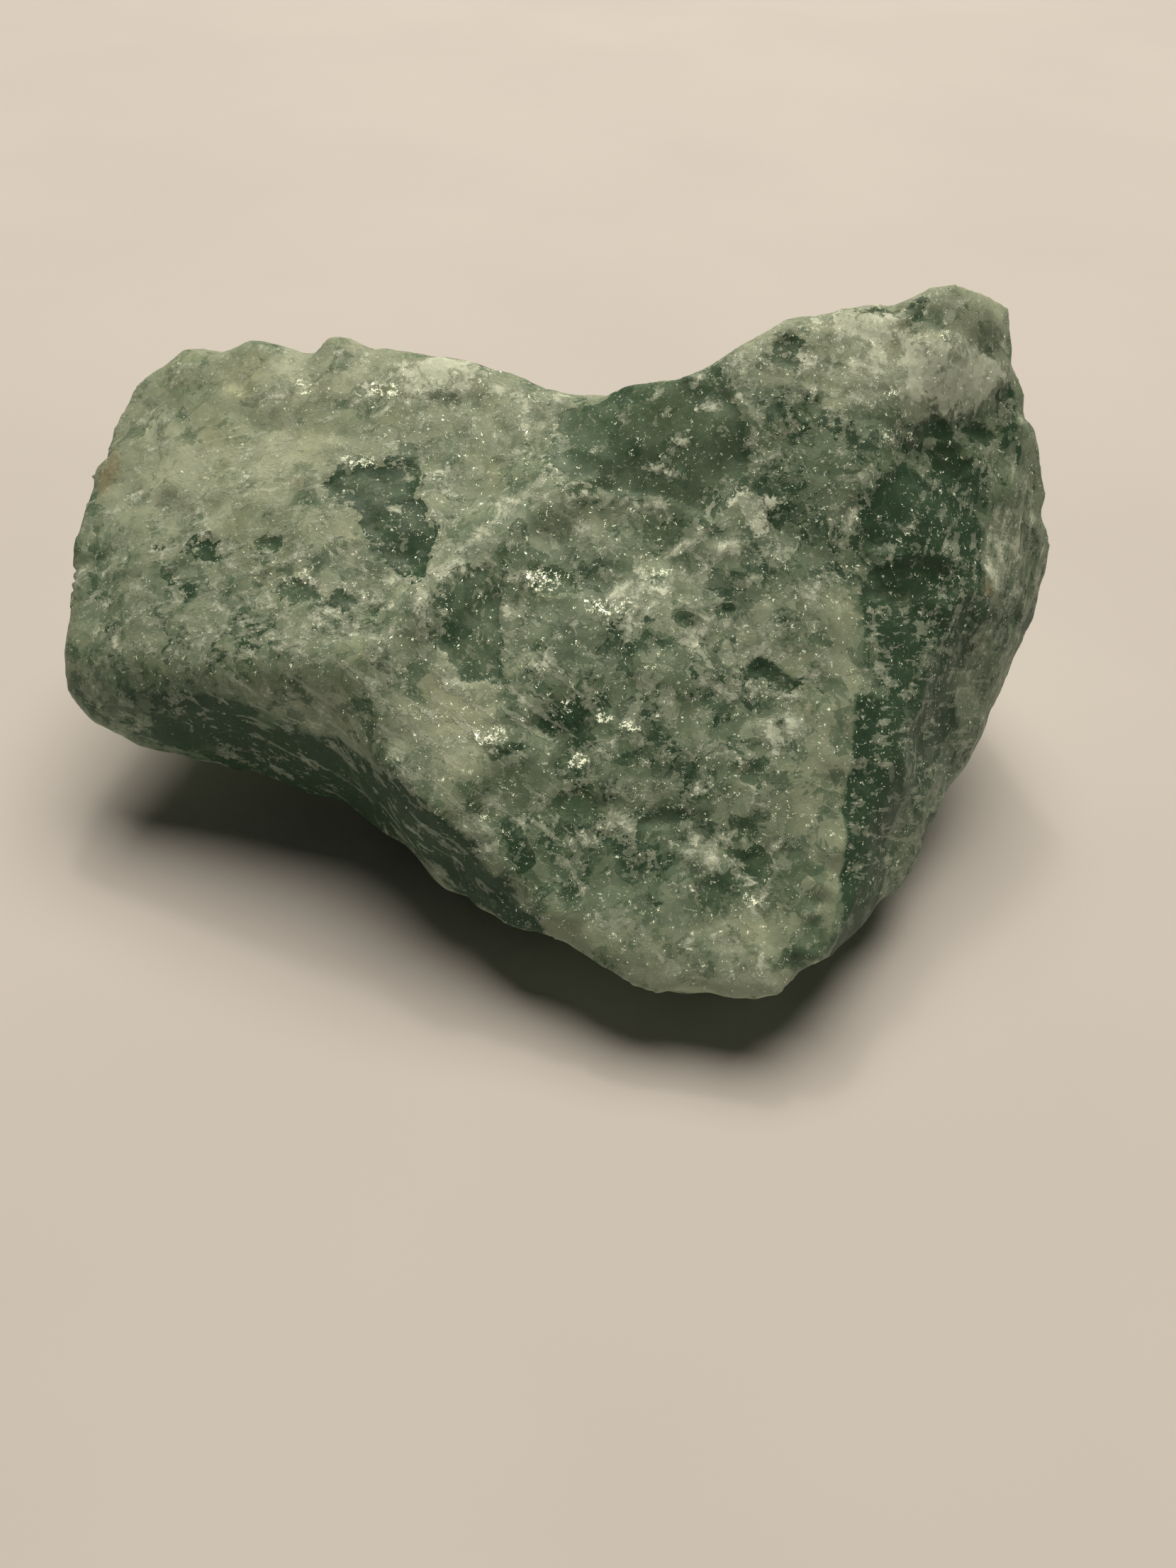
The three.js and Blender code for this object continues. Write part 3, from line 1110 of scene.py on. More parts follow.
    def broken(self, places: Array, normals: Array, facets: Facets) -> Array:
        """Joined facets that lean along the stone's cleavage.

        Args:
            places: The vertices in mm.
            normals: Their unit normals.
            facets: The facets' size and kind.

        Returns:
            Heights in mm for a slope of about one.
        """
        size, (push_size, push_reach) = facets.size, self.facet_push
        scaled = warped(places, size * push_size, size * push_reach, facets.seed) / size
        base = np.floor(scaled).astype(np.int64)
        planes = np.array(self.cleavage)
        planes = planes / np.linalg.norm(planes, axis=1)[:, None]
        best = np.full(len(places), -np.inf)
        for step in np.ndindex(3, 3, 3):
            cell = base + (np.array(step) - 1)
            gap = scaled - (cell + spread(cell, facets.seed))
            lean = planes[hashed(cell, facets.seed + 5) % len(planes)]
            facing = (lean * normals).sum(axis=1)
            turn = facing / (np.abs(facing) + self.facet_turn)
            turn = turn / (np.abs(facing) + self.facet_blunt)
            slant = (normals * facing[:, None] - lean) * turn[:, None]
            rise = (slant * gap).sum(axis=1)
            rise = -rise if facets.hollow else rise
            best = np.maximum(best, rise - self.facet_curve * (gap**2).sum(axis=1))
        return size * (-best if facets.hollow else best)

    def relief(self, places: Array, normals: Array) -> Array:
        """Adds up the skin's relief.

        Args:
            places: The vertices in mm.
            normals: Their unit normals.

        Returns:
            How far each vertex moves along its normal, in mm.
        """
        rough = 1.0 - self.clean_calm * np.clip(self.fields["clean"], 0.0, 1.0)
        lift = np.zeros(len(places))
        for facets in self.facet_sizes:
            height = facets.height * self.broken(places, normals, facets)
            lift += height * rough if facets.hollow else height
        for ends in self.crust_steps:
            lift += self.crust_height * ramp(self.fields["frost"], *ends)
        lift += self.grit_height * cloud(places, self.grit_size, self.seed + 90, octaves=2) * rough
        lift -= self.fields["sink"]
        lift -= lift.mean()
        return lift * ramp(places[:, 2], *self.foot)


# Materials


@dataclass(frozen=True)
class Noise:
    """Cloud noise: the size of its largest blobs, how many finer sizes there are, and their gain."""

    size: float
    detail: float = 3.0
    gain: float = 0.5
    bend: float = 0.0


@dataclass(frozen=True)
class Grains:
    """The sockets of a pattern of cells: the distance and each cell's own numbers."""

    distance: Socket
    colour: Socket
    first: Socket
    second: Socket
    third: Socket


class Sheet:
    """A material's node tree, with short ways to add and join nodes."""

    usual_noise: Span = (0.28, 0.72)

    def __init__(self, name: str) -> None:
        """Makes an empty material of that name."""
        self.material = bpy.data.materials.new(name)
        self.material.use_nodes = True
        self.tree = self.material.node_tree
        self.tree.nodes.clear()

    def node(self, kind: str, inputs: Inputs | None = None, **settings: object) -> bpy.types.Node:
        """Adds a node.

        Args:
            kind: Blender's name for the kind of node.
            inputs: Values or sockets for its inputs, by name or by number.
            **settings: Its own properties.

        Returns:
            The node.
        """
        made = self.tree.nodes.new(kind)
        for label, value in settings.items():
            setattr(made, label, value)
        for label, value in (inputs or {}).items():
            self.feed(made.inputs[label], value)
        return made

    def feed(self, target: Socket, value: object) -> None:
        """Joins a socket to an input, or sets the input's value."""
        if isinstance(value, bpy.types.NodeSocket):
            self.tree.links.new(value, target)
        elif value is not None:
            target.default_value = value

    def finish(self, shader: bpy.types.Node) -> bpy.types.Material:
        """Joins a shader to the material's output and returns the material."""
        out = self.node("ShaderNodeOutputMaterial")
        self.feed(out.inputs["Surface"], shader.outputs[0])
        return self.material

    def math(self, operation: str, a: object, b: object = None, c: object = None) -> Socket:
        """Adds a math node.

        Args:
            operation: Blender's name for the operation.
            a: The first number or socket.
            b: The second, if it has one.
            c: The third, if it has one.

        Returns:
            The result's socket.
        """
        return self.node("ShaderNodeMath", {0: a, 1: b, 2: c}, operation=operation).outputs[0]

    def total(self, *parts: object) -> Socket:
        """Adds numbers and sockets up."""
        result = parts[0]
        for part in parts[1:]:
            result = self.math("ADD", result, part)
        return result

    def product(self, *parts: object) -> Socket:
        """Multiplies numbers and sockets."""
        result = parts[0]
        for part in parts[1:]:
            result = self.math("MULTIPLY", result, part)
        return result

    def line(self, value: object, slope: float, start: float) -> Socket:
        """Gives the value times the slope, plus the start."""
        return self.math("MULTIPLY_ADD", value, slope, start)

    def centred(self, chance: Socket, reach: float) -> Socket:
        """Turns a random number from 0 to 1 into one from -reach/2 to reach/2."""
        return self.line(chance, reach, -0.5 * reach)

    def rest(self, share: Socket) -> Socket:
        """Gives what the share leaves of 1."""
        return self.math("SUBTRACT", 1.0, share)

    def vector(self, operation: str, a: object, b: object = None) -> Socket:
        """Adds a vector math node and returns its vector socket."""
        return self.node("ShaderNodeVectorMath", {0: a, 1: b}, operation=operation).outputs[0]

    def scaled(self, vector: object, factor: object) -> Socket:
        """Stretches a vector by a number or socket."""
        made = self.node("ShaderNodeVectorMath", {0: vector, "Scale": factor}, operation="SCALE")
        return made.outputs[0]

    def lean(self, colour: Socket, reach: float) -> Socket:
        """Turns a random colour into a vector that leans any way, by about that reach."""
        return self.scaled(self.vector("SUBTRACT", colour, (0.5, 0.5, 0.5)), reach)

    def field(self, name: str) -> Socket:
        """Reads one of the skin's fields."""
        return self.node("ShaderNodeAttribute", attribute_name=name).outputs["Fac"]

    def step(self, value: object, ends: Span, result: Span = (0.0, 1.0)) -> Socket:
        """Maps a value smoothly from one span to another.

        Args:
            value: The number or socket that is mapped.
            ends: Where the climb starts and ends. The second may be the lower one.
            result: What it gives up to the start and from the end on.

        Returns:
            The result's socket.
        """
        spans = {"From Min": ends[0], "From Max": ends[1], "To Min": result[0], "To Max": result[1]}
        made = self.node("ShaderNodeMapRange", {"Value": value} | spans, interpolation_type="SMOOTHSTEP")
        return made.outputs["Result"]

    def noise(self, place: Socket, noise: Noise) -> Socket:
        """Adds cloud noise.

        Args:
            place: The place, in the noise's own unit.
            noise: The noise's settings.

        Returns:
            A socket of about 0 to 1, with a middle of 0.5.
        """
        settings = {"Detail": noise.detail, "Roughness": noise.gain, "Distortion": noise.bend}
        made = self.node("ShaderNodeTexNoise", {"Vector": place, "Scale": 1.0 / noise.size} | settings)
        return made.outputs["Fac"]

    def swing(self, place: Socket, noise: Noise, reach: float) -> Socket:
        """Adds cloud noise that runs from about -reach to reach."""
        low, high = self.usual_noise
        spans = {"From Min": low, "From Max": high, "To Min": -reach, "To Max": reach}
        return self.node("ShaderNodeMapRange", {"Value": self.noise(place, noise)} | spans).outputs["Result"]

    def cells(self, place: Socket, size: float) -> Grains:
        """Adds a pattern of cells of that size in mm."""
        made = self.node("ShaderNodeTexVoronoi", {"Vector": place, "Scale": 1.0 / size})
        parts = self.node("ShaderNodeSeparateColor", {"Color": made.outputs["Color"]})
        return Grains(made.outputs["Distance"], made.outputs["Color"], *list(parts.outputs)[:3])

    def blend(self, share: object, a: object, b: object, kind: str = "MIX") -> Socket:
        """Mixes two colours.

        Args:
            share: How much of the second colour shows, from 0 to 1.
            a: The first colour or socket.
            b: The second colour or socket.
            kind: Blender's name for the way of mixing.

        Returns:
            The result's socket.
        """
        made = self.node("ShaderNodeMix", data_type="RGBA", blend_type=kind)
        self.feed(made.inputs["Factor"], share)
        for label, value in (("A", a), ("B", b)):
            socket = [s for s in made.inputs if s.name == label and s.type == "RGBA"][0]
            self.feed(socket, (*value, 1.0) if isinstance(value, tuple) else value)
        return [s for s in made.outputs if s.type == "RGBA"][0]

    def stops(self, value: Socket, pairs: tuple[tuple[float, Colour], ...]) -> Socket:
        """Runs a value through a row of colours.

        Args:
            value: The number that picks the colour.
            pairs: Each stop's number and colour.

        Returns:
            The colour's socket.
        """
        made = self.node("ShaderNodeValToRGB", {"Fac": value})
        row = made.color_ramp.elements
        while len(row) < len(pairs):
            row.new(0.5)
        for element, (place, colour) in zip(row, pairs):
            element.position = place
            element.color = (*colour, 1.0)
        return made.outputs["Color"]


@dataclass(frozen=True)
class Ground:
    """The sockets that the stone's layers share: the place in mm, the grains and the marks."""

    place: Socket
    shaken: Socket
    broad: Grains
    coarse: Grains
    fine: Grains
    frost: Socket
    opened: Socket
    chipped: Socket
    clean: Socket
    fibres: Socket


@dataclass(frozen=True)
class Ragged:
    """A mark of the skin with a crisp, ragged outline."""

    mark: str
    grain_reach: float
    noises: tuple[tuple[Noise, float], ...]
    edge: Span

    def share(self, s: Sheet, place: Socket, chance: Socket) -> Socket:
        """Draws the mark.

        Args:
            s: The node tree.
            place: The place in mm.
            chance: The grains' random number, which pushes the outline grain by grain.

        Returns:
            A socket that is 1 on the mark and 0 elsewhere.
        """
        pushes = [s.swing(place, noise, reach) for noise, reach in self.noises]
        return s.step(s.total(s.field(self.mark), s.centred(chance, self.grain_reach), *pushes), self.edge)


@dataclass(frozen=True)
class Greens:
    """The cloudy green of the stone under its crumbs."""

    # Each green, with the tone at which it shows, from the palest to the darkest
    row: tuple[tuple[float, Colour], ...] = (
        (0.02, (0.57, 0.665, 0.485)),
        (0.27, (0.385, 0.465, 0.325)),
        (0.52, (0.225, 0.310, 0.208)),
        (0.78, (0.135, 0.215, 0.138)),
        (1.00, (0.055, 0.112, 0.066)),
    )

    # How much the tone differs from grain to grain, and how much less it does on smooth stone
    broad_swing: float = 0.26
    coarse_swing: float = 0.18
    fine_swing: float = 0.07
    odd_grains: Span = (0.90, 0.93)
    odd_share: float = 0.12
    smooth_calm: float = -0.6

    # Soft clouds, and crisp darker spots in two steps
    clouds: Noise = Noise(2.4, 4.0, 0.6, 0.6)
    cloud_swing: float = 0.10
    spots: Noise = Noise(3.8, 5.0, 0.66, 0.5)
    spot_coarse: float = 0.15
    spot_broad: float = 0.08
    spot_depth: float = 0.22
    spot_start: float = -0.10
    spot_steps: tuple[tuple[Span, float], ...] = (((0.515, 0.528), 0.24), ((0.60, 0.612), 0.12))

    # The darker right face, the windows' own tone, and the whole stone a little paler
    right_edge: Span = (-0.10, 0.10)
    right_ragged: Noise = Noise(1.0)
    right_swing: float = 0.18
    right_share: float = 0.17
    window_share: float = 0.92
    window_swing: float = 0.20
    paler: float = -0.05

    # The yellower parts
    ochre: Colour = (1.06, 1.0, 0.80)
    ochre_clouds: Noise = Noise(7.0, 4.0)
    ochre_ends: Span = (0.50, 0.70)
    ochre_share: Span = (0.0, 0.36)

    def tone(self, s: Sheet, ground: Ground) -> Socket:
        """Works out how dark the green is.

        Args:
            s: The node tree.
            ground: The shared sockets.

        Returns:
            A socket of about 0 to 1.
        """
        depth = s.field("depth")
        grains = s.total(
            s.centred(ground.broad.first, self.broad_swing),
            s.centred(ground.coarse.first, self.coarse_swing),
            s.centred(ground.fine.first, self.fine_swing),
            s.product(s.step(ground.fine.third, self.odd_grains), self.odd_share),
        )
        grains = s.product(grains, s.line(ground.clean, self.smooth_calm, 1.0))
        spots = s.total(
            s.noise(ground.place, self.spots),
            s.centred(ground.coarse.first, self.spot_coarse),
            s.centred(ground.broad.second, self.spot_broad),
            s.line(depth, self.spot_depth, self.spot_start),
        )
        spots = s.total(*[s.product(s.step(spots, ends), share) for ends, share in self.spot_steps])
        side = s.total(s.field("side"), s.swing(ground.place, self.right_ragged, self.right_swing))
        right = s.product(s.step(side, self.right_edge), self.right_share)
        closed = s.total(depth, grains, right, spots, self.paler)
        window = s.product(ground.opened, s.math("SUBTRACT", s.field("level"), closed))
        shift = s.product(ground.opened, s.centred(ground.coarse.third, self.window_swing))
        clouds = s.swing(ground.place, self.clouds, self.cloud_swing)
        return s.total(closed, s.product(window, self.window_share), clouds, shift)

    def colour(self, s: Sheet, ground: Ground) -> Socket:
        """Gives the colour of the stone without its crumbs.

        Args:
            s: The node tree.
            ground: The shared sockets.

        Returns:
            The colour's socket.
        """
        green = s.stops(self.tone(s, ground), self.row)
        warm = s.step(s.noise(ground.place, self.ochre_clouds), self.ochre_ends, self.ochre_share)
        return s.blend(warm, green, self.ochre, "MULTIPLY")


@dataclass(frozen=True)
class Crumbs:
    """Grey and white crumbs in thicker and thicker layers, and the rims around them, painted as highlights.
    """

    # The thin veil: its noise, and what the grains and marks add to it
    veil: Noise = Noise(3.4, 5.0, 0.66, 0.5)
    veil_swing: float = 0.38
    veil_broad: float = 0.30
    veil_coarse: float = 0.20
    veil_opened: float = -1.1
    veil_chipped: float = 0.40
    veil_edge: Span = (0.00, 0.025)

    # The crumbs: their noise, and what the grains and marks add to it
    lumps: Noise = Noise(2.5, 5.5, 0.72, 0.4)
    lump_fine: float = 0.06
    lump_coarse: float = 0.075
    lump_fibres: float = 0.055
    lump_frost: float = 0.17
    lump_clean: float = -0.032
    lump_opened: float = -0.040
    lump_chipped: float = 0.19
    lump_border: float = 0.06
    crumb_edge: Span = (0.535, 0.548)
    thick_edge: Span = (0.600, 0.613)
    scale_edge: Span = (0.665, 0.678)

    # The band just outside the windows, where crumbs gather in places
    border: Span = (-1.1, -0.5)
    border_gaps: Noise = Noise(2.6)
    border_edge: Span = (0.44, 0.54)

    # The rims along the crumbs' outline and along the ledges, each with gaps, which are painted highlights
    rim_rise: Span = (0.526, 0.532)
    rim_fall: Span = (0.546, 0.538)
    rim_gaps: Noise = Noise(2.4, 4.0, 0.6)
    rim_edge: Span = (0.45, 0.51)
    ledge_ragged: Noise = Noise(1.2, 5.0, 0.6)
    ledge_swing: float = 0.35
    ledge_width: Span = (0.42, 0.26)
    ledge_gaps: Noise = Noise(1.8, 3.0, 0.6)
    ledge_edge: Span = (0.44, 0.50)

    def veiled(self, s: Sheet, ground: Ground) -> Socket:
        """Where the thin veil lies.

        Args:
            s: The node tree.
            ground: The shared sockets.

        Returns:
            Its share, from 0 to 1.
        """
        cover = s.total(
            ground.frost,
            s.centred(ground.broad.second, self.veil_broad),
            s.centred(ground.coarse.second, self.veil_coarse),
            s.swing(ground.place, self.veil, self.veil_swing),
            s.product(ground.opened, self.veil_opened),
            s.product(ground.chipped, self.veil_chipped),
        )
        return s.step(cover, self.veil_edge)

    def bordered(self, s: Sheet, ground: Ground) -> Socket:
        """Where crumbs gather just outside the windows.

        Args:
            s: The node tree.
            ground: The shared sockets.

        Returns:
            Its share, from 0 to 1.
        """
        around = s.product(s.step(s.field("window"), self.border), s.rest(ground.opened))
        return s.product(around, s.step(s.noise(ground.place, self.border_gaps), self.border_edge))

    def pattern(self, s: Sheet, ground: Ground) -> Socket:
        """The pattern that the crumbs are cut from.

        Args:
            s: The node tree.
            ground: The shared sockets.

        Returns:
            A socket of about 0 to 1, which is highest where the crumbs lie thickest.
        """
        return s.total(
            s.noise(ground.place, self.lumps),
            s.centred(ground.fine.second, self.lump_fine),
            s.centred(ground.coarse.first, self.lump_coarse),
            s.product(ground.fibres, self.lump_fibres),
            s.product(ground.frost, self.lump_frost),
            s.product(ground.clean, self.lump_clean),
            s.product(ground.opened, self.lump_opened),
            s.product(ground.chipped, s.field("white"), self.lump_chipped),
            s.product(self.bordered(s, ground), self.lump_border),
        )

    def rims(self, s: Sheet, ground: Ground, pattern: Socket) -> Socket:
        """Thin bright lines along the crumbs' outlines and along the ledges: painted highlights.

        Args:
            s: The node tree.
            ground: The shared sockets.
            pattern: The pattern that the crumbs are cut from.

        Returns:
            Their share, from 0 to 1.
        """
        around = s.product(s.step(pattern, self.rim_rise), s.step(pattern, self.rim_fall))
        around = s.product(around, s.step(s.noise(ground.place, self.rim_gaps), self.rim_edge))
        ledge = s.total(s.field("ledge"), s.swing(ground.place, self.ledge_ragged, self.ledge_swing))
        gaps = s.step(s.noise(ground.place, self.ledge_gaps), self.ledge_edge)
        return s.math("MAXIMUM", around, s.product(s.step(ledge, self.ledge_width), gaps))


@dataclass(frozen=True)
class Specks:
    """Single white flecks and dots, more of them where it is frosty: partly white crumbs and partly painted
    tiny glints.
    """

    flecks: Noise = Noise(0.55, 3.5, 0.74, 0.4)
    fleck_start: float = -0.695
    fleck_edge: Span = (0.0, 0.02)
    frosty: Span = (-0.6, 0.6)
    frosty_share: float = 0.11
    clean_share: float = -0.25
    dot_size: float = 0.85
    dot_width: Span = (0.12, 0.06)
    dot_edge: Span = (0.03, 0.0)
    dot_chance: Span = (0.60, 0.62)
    dot_share: float = 0.85
    brightness: Span = (0.50, 0.30)

    def share(self, s: Sheet, ground: Ground) -> Socket:
        """Draws the flecks and the dots.

        Args:
            s: The node tree.
            ground: The shared sockets.

        Returns:
            Their share, from 0 to 1.
        """
        many = s.step(s.total(ground.frost, s.product(ground.clean, self.clean_share)), self.frosty)
        flecks = s.noise(ground.shaken, self.flecks)
        flecks = s.total(flecks, s.product(many, self.frosty_share), self.fleck_start)
        cells = s.cells(ground.shaken, self.dot_size)
        wide = s.line(cells.second, *self.dot_width)
        dots = s.step(s.math("SUBTRACT", cells.distance, wide), self.dot_edge)
        dots = s.product(dots, s.step(cells.first, self.dot_chance))
        both = s.math("MAXIMUM", s.step(flecks, self.fleck_edge), s.product(dots, self.dot_share))
        return s.product(both, s.line(ground.fine.second, *self.brightness))


@dataclass(frozen=True)
class Flakes:
    """Small shiny flakes, in clusters and a few alone, also painted near-white as painted glints."""

    lace: Noise = Noise(0.60, 4.0, 0.74, 0.6)
    cell_size: float = 0.42
    cell_swing: float = 0.10
    cluster: Span = (0.15, 0.75)
    cluster_share: float = 0.140
    clean_share: float = -0.012
    flake_edge: Span = (0.705, 0.720)

    # Short strokes: thin bent lines with gaps, where the lace is dense enough
    bends: Noise = Noise(0.9, 4.0, 0.66, 0.9)
    bend_middle: float = 0.5
    bend_width: Span = (0.030, 0.015)
    stroke_edge: Span = (0.570, 0.605)
    gaps: Noise = Noise(0.45, 3.0, 0.66)
    gap_edge: Span = (0.44, 0.54)

    def share(self, s: Sheet, ground: Ground, cells: Grains) -> Socket:
        """Draws the flakes.

        Args:
            s: The node tree.
            ground: The shared sockets.
            cells: The cells in each of which the flakes lean one way.

        Returns:
            Their share, from 0 to 1.
        """
        lace = s.total(
            s.noise(ground.shaken, self.lace),
            s.centred(cells.first, self.cell_swing),
            s.product(s.step(s.field("glint"), self.cluster), self.cluster_share),
            s.product(ground.clean, self.clean_share),
        )
        bend = s.math("SUBTRACT", s.noise(ground.shaken, self.bends), self.bend_middle)
        thin = s.step(s.math("ABSOLUTE", bend), self.bend_width)
        gaps = s.step(s.noise(ground.shaken, self.gaps), self.gap_edge)
        stroke = s.product(thin, s.step(lace, self.stroke_edge), gaps)
        return s.math("MAXIMUM", s.step(lace, self.flake_edge), stroke)


@dataclass(frozen=True)
class FluoriteFinish:
    """Cloudy green stone under patches of white crumbs."""

    greens: Greens = Greens()
    crumbs: Crumbs = Crumbs()
    specks: Specks = Specks()
    flakes: Flakes = Flakes()
    windows: Ragged = Ragged("window", 1.2, ((Noise(2.2, 5.0, 0.70, 0.5), 0.90),), (-0.15, 0.02))
    chips: Ragged = Ragged(
        "chip",
        1.2,
        ((Noise(1.6, 4.5, 0.70, 0.5), 1.10), (Noise(0.55, 3.0, 0.72, 0.4), 0.55)),
        (-0.20, 0.20),
    )

    # The colours of the crumbs and of the stains. Cream is also the painted highlight on the flakes and on
    # some specks
    veil: Colour = (0.45, 0.54, 0.41)
    frost: Colour = (0.66, 0.76, 0.61)
    cream: Colour = (0.80, 0.91, 0.74)
    rust: Colour = (0.33, 0.265, 0.14)

    # Each layer's strength. Where there are two numbers, the first is how much it
    # differs from grain to grain, and the second is the least of it
    veil_share: Span = (0.26, 0.12)
    crumb_share: Span = (0.32, 0.38)
    thick_share: Span = (0.50, 0.28)
    scale_share: Span = (0.42, 0.48)
    streak_share: float = 0.34
    painted_rim_highlight_share: float = 0.64
    painted_glint_share: float = 0.62
    rust_share: float = 0.6

    # Crumbs are fainter on the right face
    right_edge: Span = (-0.10, 0.10)
    right_calm: float = -0.32

    # The spacing of the grains, and the size and reach of the pushes that make them ragged
    broad_size: float = 4.8
    coarse_size: float = 2.1
    fine_size: float = 0.62
    broad_push: Span = (1.6, 0.40)
    coarse_push: Span = (0.8, 0.20)
    fine_push: Span = (0.45, 0.14)
    push_detail: float = 1.0
    window_clean: float = 0.8

    # The fibres' noise, across them, and the streaks cut from it
    fibre_noise: Noise = Noise(1.0, 3.0, 0.6)
    streak_edge: Span = (0.34, 0.40)
    streak_opened: float = -0.8

    # Gloss, and the light that passes under the surface
    ior: float = 1.434
    gloss: float = 0.25
    mirror: float = 0.14
    glow: float = 0.24
    glow_reach_m: float = 0.0008
    glow_tint: Colour = (0.75, 1.0, 0.8)
    roughness: float = 0.52
    rough_noise: Noise = Noise(1.4)
    rough_swing: float = 0.08
    rough_thick: float = 0.10
    rough_clean: float = -0.10
    rough_flake: float = -0.34

    # The fine relief: its height in metres, and how much of it each layer makes
    bump_m: float = 0.00014
    bump_noise: Noise = Noise(0.6, 3.0, 0.6)
    bump_noise_share: float = 0.28
    bump_broad: float = 0.16
    bump_coarse: float = 0.14
    bump_fine: float = 0.10
    bump_veil: float = 0.22
    bump_crumb: float = 0.28
    bump_thick: float = 0.36
    bump_rims: float = 0.25
    bump_specks: float = 0.30
    bump_streaks: float = 0.30
    bump_opened: float = -0.45

    # How far the grains and the flakes lean, and the way in which the flakes face
    coarse_lean: float = 0.20
    fine_lean: float = 0.15
    smooth_calm: float = -0.6
    flake_lean: float = 0.16
    shiny_plane: Point = (-0.03, -0.21, 0.98)

    def make(self, stone: Stone) -> bpy.types.Material:
        """Builds the material.

        Args:
            stone: The surface on which the fibres run.

        Returns:
            The material for the skin.
        """
        s = Sheet("fluorite_stone")
        ground = self.ground(s, stone)
        pattern = self.crumbs.pattern(s, ground)
        veil = self.crumbs.veiled(s, ground)
        crumb = s.step(pattern, self.crumbs.crumb_edge)
        thick = s.step(pattern, self.crumbs.thick_edge)
        scale = s.step(pattern, self.crumbs.scale_edge)
        rims = self.crumbs.rims(s, ground, pattern)
        streaks = s.step(ground.fibres, self.streak_edge)
        streaks = s.product(streaks, s.line(ground.opened, self.streak_opened, 1.0))
        specks = self.specks.share(s, ground)
        cells = s.cells(ground.shaken, self.flakes.cell_size)
        flake = self.flakes.share(s, ground, cells)
        calm = s.line(s.step(s.field("side"), self.right_edge), self.right_calm, 1.0)
        layers = (
            (s.product(veil, s.line(ground.coarse.third, *self.veil_share)), self.veil),
            (s.product(crumb, calm, s.line(ground.coarse.third, *self.crumb_share)), self.veil),
            (s.product(thick, calm, s.line(ground.fine.third, *self.thick_share)), self.frost),
            (s.product(streaks, self.streak_share), self.frost),
            # painted highlights along the crumbs' edges and the ledges
            (s.product(rims, self.painted_rim_highlight_share), self.frost),
            (s.product(scale, s.line(ground.fine.first, *self.scale_share)), self.cream),
            # white flecks, partly crumbs and partly painted tiny glints
            (specks, self.cream),
            # painted glints: the flakes painted near-white
            (s.product(flake, self.painted_glint_share), self.cream),
            (s.product(s.field("rust"), self.rust_share), self.rust),
        )
        colour = self.greens.colour(s, ground)
        for share, paint in layers:
            colour = s.blend(share, colour, paint)
        rough = s.total(
            self.roughness,
            s.swing(ground.place, self.rough_noise, self.rough_swing),
            s.product(thick, self.rough_thick),
            s.product(ground.clean, self.rough_clean),
            s.product(flake, self.rough_flake),
        )
        height = s.total(
            s.product(s.noise(ground.place, self.bump_noise), self.bump_noise_share),
            s.product(ground.broad.first, self.bump_broad),
            s.product(ground.coarse.first, self.bump_coarse),
            s.product(ground.fine.first, self.bump_fine),
            s.product(veil, self.bump_veil),
            s.product(crumb, self.bump_crumb),
            s.product(thick, self.bump_thick),
            s.product(rims, self.bump_rims),
            s.product(specks, self.bump_specks),
            s.product(streaks, self.bump_streaks),
            s.product(ground.opened, self.bump_opened),
        )
        shader = s.node("ShaderNodeBsdfPrincipled", {"Base Color": colour, "Roughness": rough})
        s.feed(shader.inputs["Metallic"], s.product(flake, self.mirror))
        shader.inputs["IOR"].default_value = self.ior
        shader.inputs["Specular IOR Level"].default_value = self.gloss
        shader.inputs["Subsurface Weight"].default_value = self.glow
        shader.inputs["Subsurface Radius"].default_value = self.glow_tint
        shader.inputs["Subsurface Scale"].default_value = self.glow_reach_m
        s.feed(shader.inputs["Normal"], self.facing(s, ground, height, flake, cells))
        return s.finish(shader)

    def ground(self, s: Sheet, stone: Stone) -> Ground:
        """Adds what the layers share.

        Args:
            s: The node tree.
            stone: The surface on which the fibres run.

        Returns:
            The shared sockets.
        """
        place = s.scaled(s.node("ShaderNodeTexCoord").outputs["Object"], 1.0 / MM)
        shaken = self.pushed(s, place, self.fine_push)
        coarse = s.cells(self.pushed(s, place, self.coarse_push), self.coarse_size)
        chipped = self.chips.share(s, place, coarse.second)
        opened = s.product(self.windows.share(s, place, coarse.first), s.rest(chipped))
        return Ground(
            place=place,
            shaken=shaken,
            broad=s.cells(self.pushed(s, place, self.broad_push), self.broad_size),
            coarse=coarse,
            fine=s.cells(shaken, self.fine_size),
            frost=s.field("frost"),
            opened=opened,
            chipped=chipped,
            clean=s.math("MAXIMUM", s.field("clean"), s.product(opened, self.window_clean)),
            fibres=self.fibres(s, shaken, stone),
        )

    def pushed(self, s: Sheet, place: Socket, push: Span) -> Socket:
        """Pushes the place about, for ragged outlines.

        Args:
            s: The node tree.
            place: The place in mm.
            push: The size of the pushes' pattern and how far they push, in mm.

        Returns:
            The moved place's socket.
        """
        size, reach = push
        settings = {"Vector": place, "Scale": 1.0 / size, "Detail": self.push_detail}
        made = s.node("ShaderNodeTexNoise", settings)
        return s.vector("ADD", place, s.lean(made.outputs["Color"], 2.0 * reach))

    def fibres(self, s: Sheet, place: Socket, stone: Stone) -> Socket:
        """Draws long pale fibres where their field lets them show.

        Args:
            s: The node tree.
            place: The place in mm.
            stone: The surface on which the fibres run.

        Returns:
            A socket of about -1 to 1, and 0 where there are no fibres.
        """
        parts = []
        for fibre in FIBRES:
            turn = fibre.run(stone).to_track_quat("X", "Z").to_euler()
            size = (fibre.length, fibre.width, fibre.width)
            settings = {"Vector": place, "Rotation": tuple(turn), "Scale": size}
            along = s.node("ShaderNodeMapping", settings, vector_type="TEXTURE").outputs[0]
            parts.append(s.product(s.swing(along, self.fibre_noise, 1.0), s.field(fibre.name)))
        return s.total(*parts)

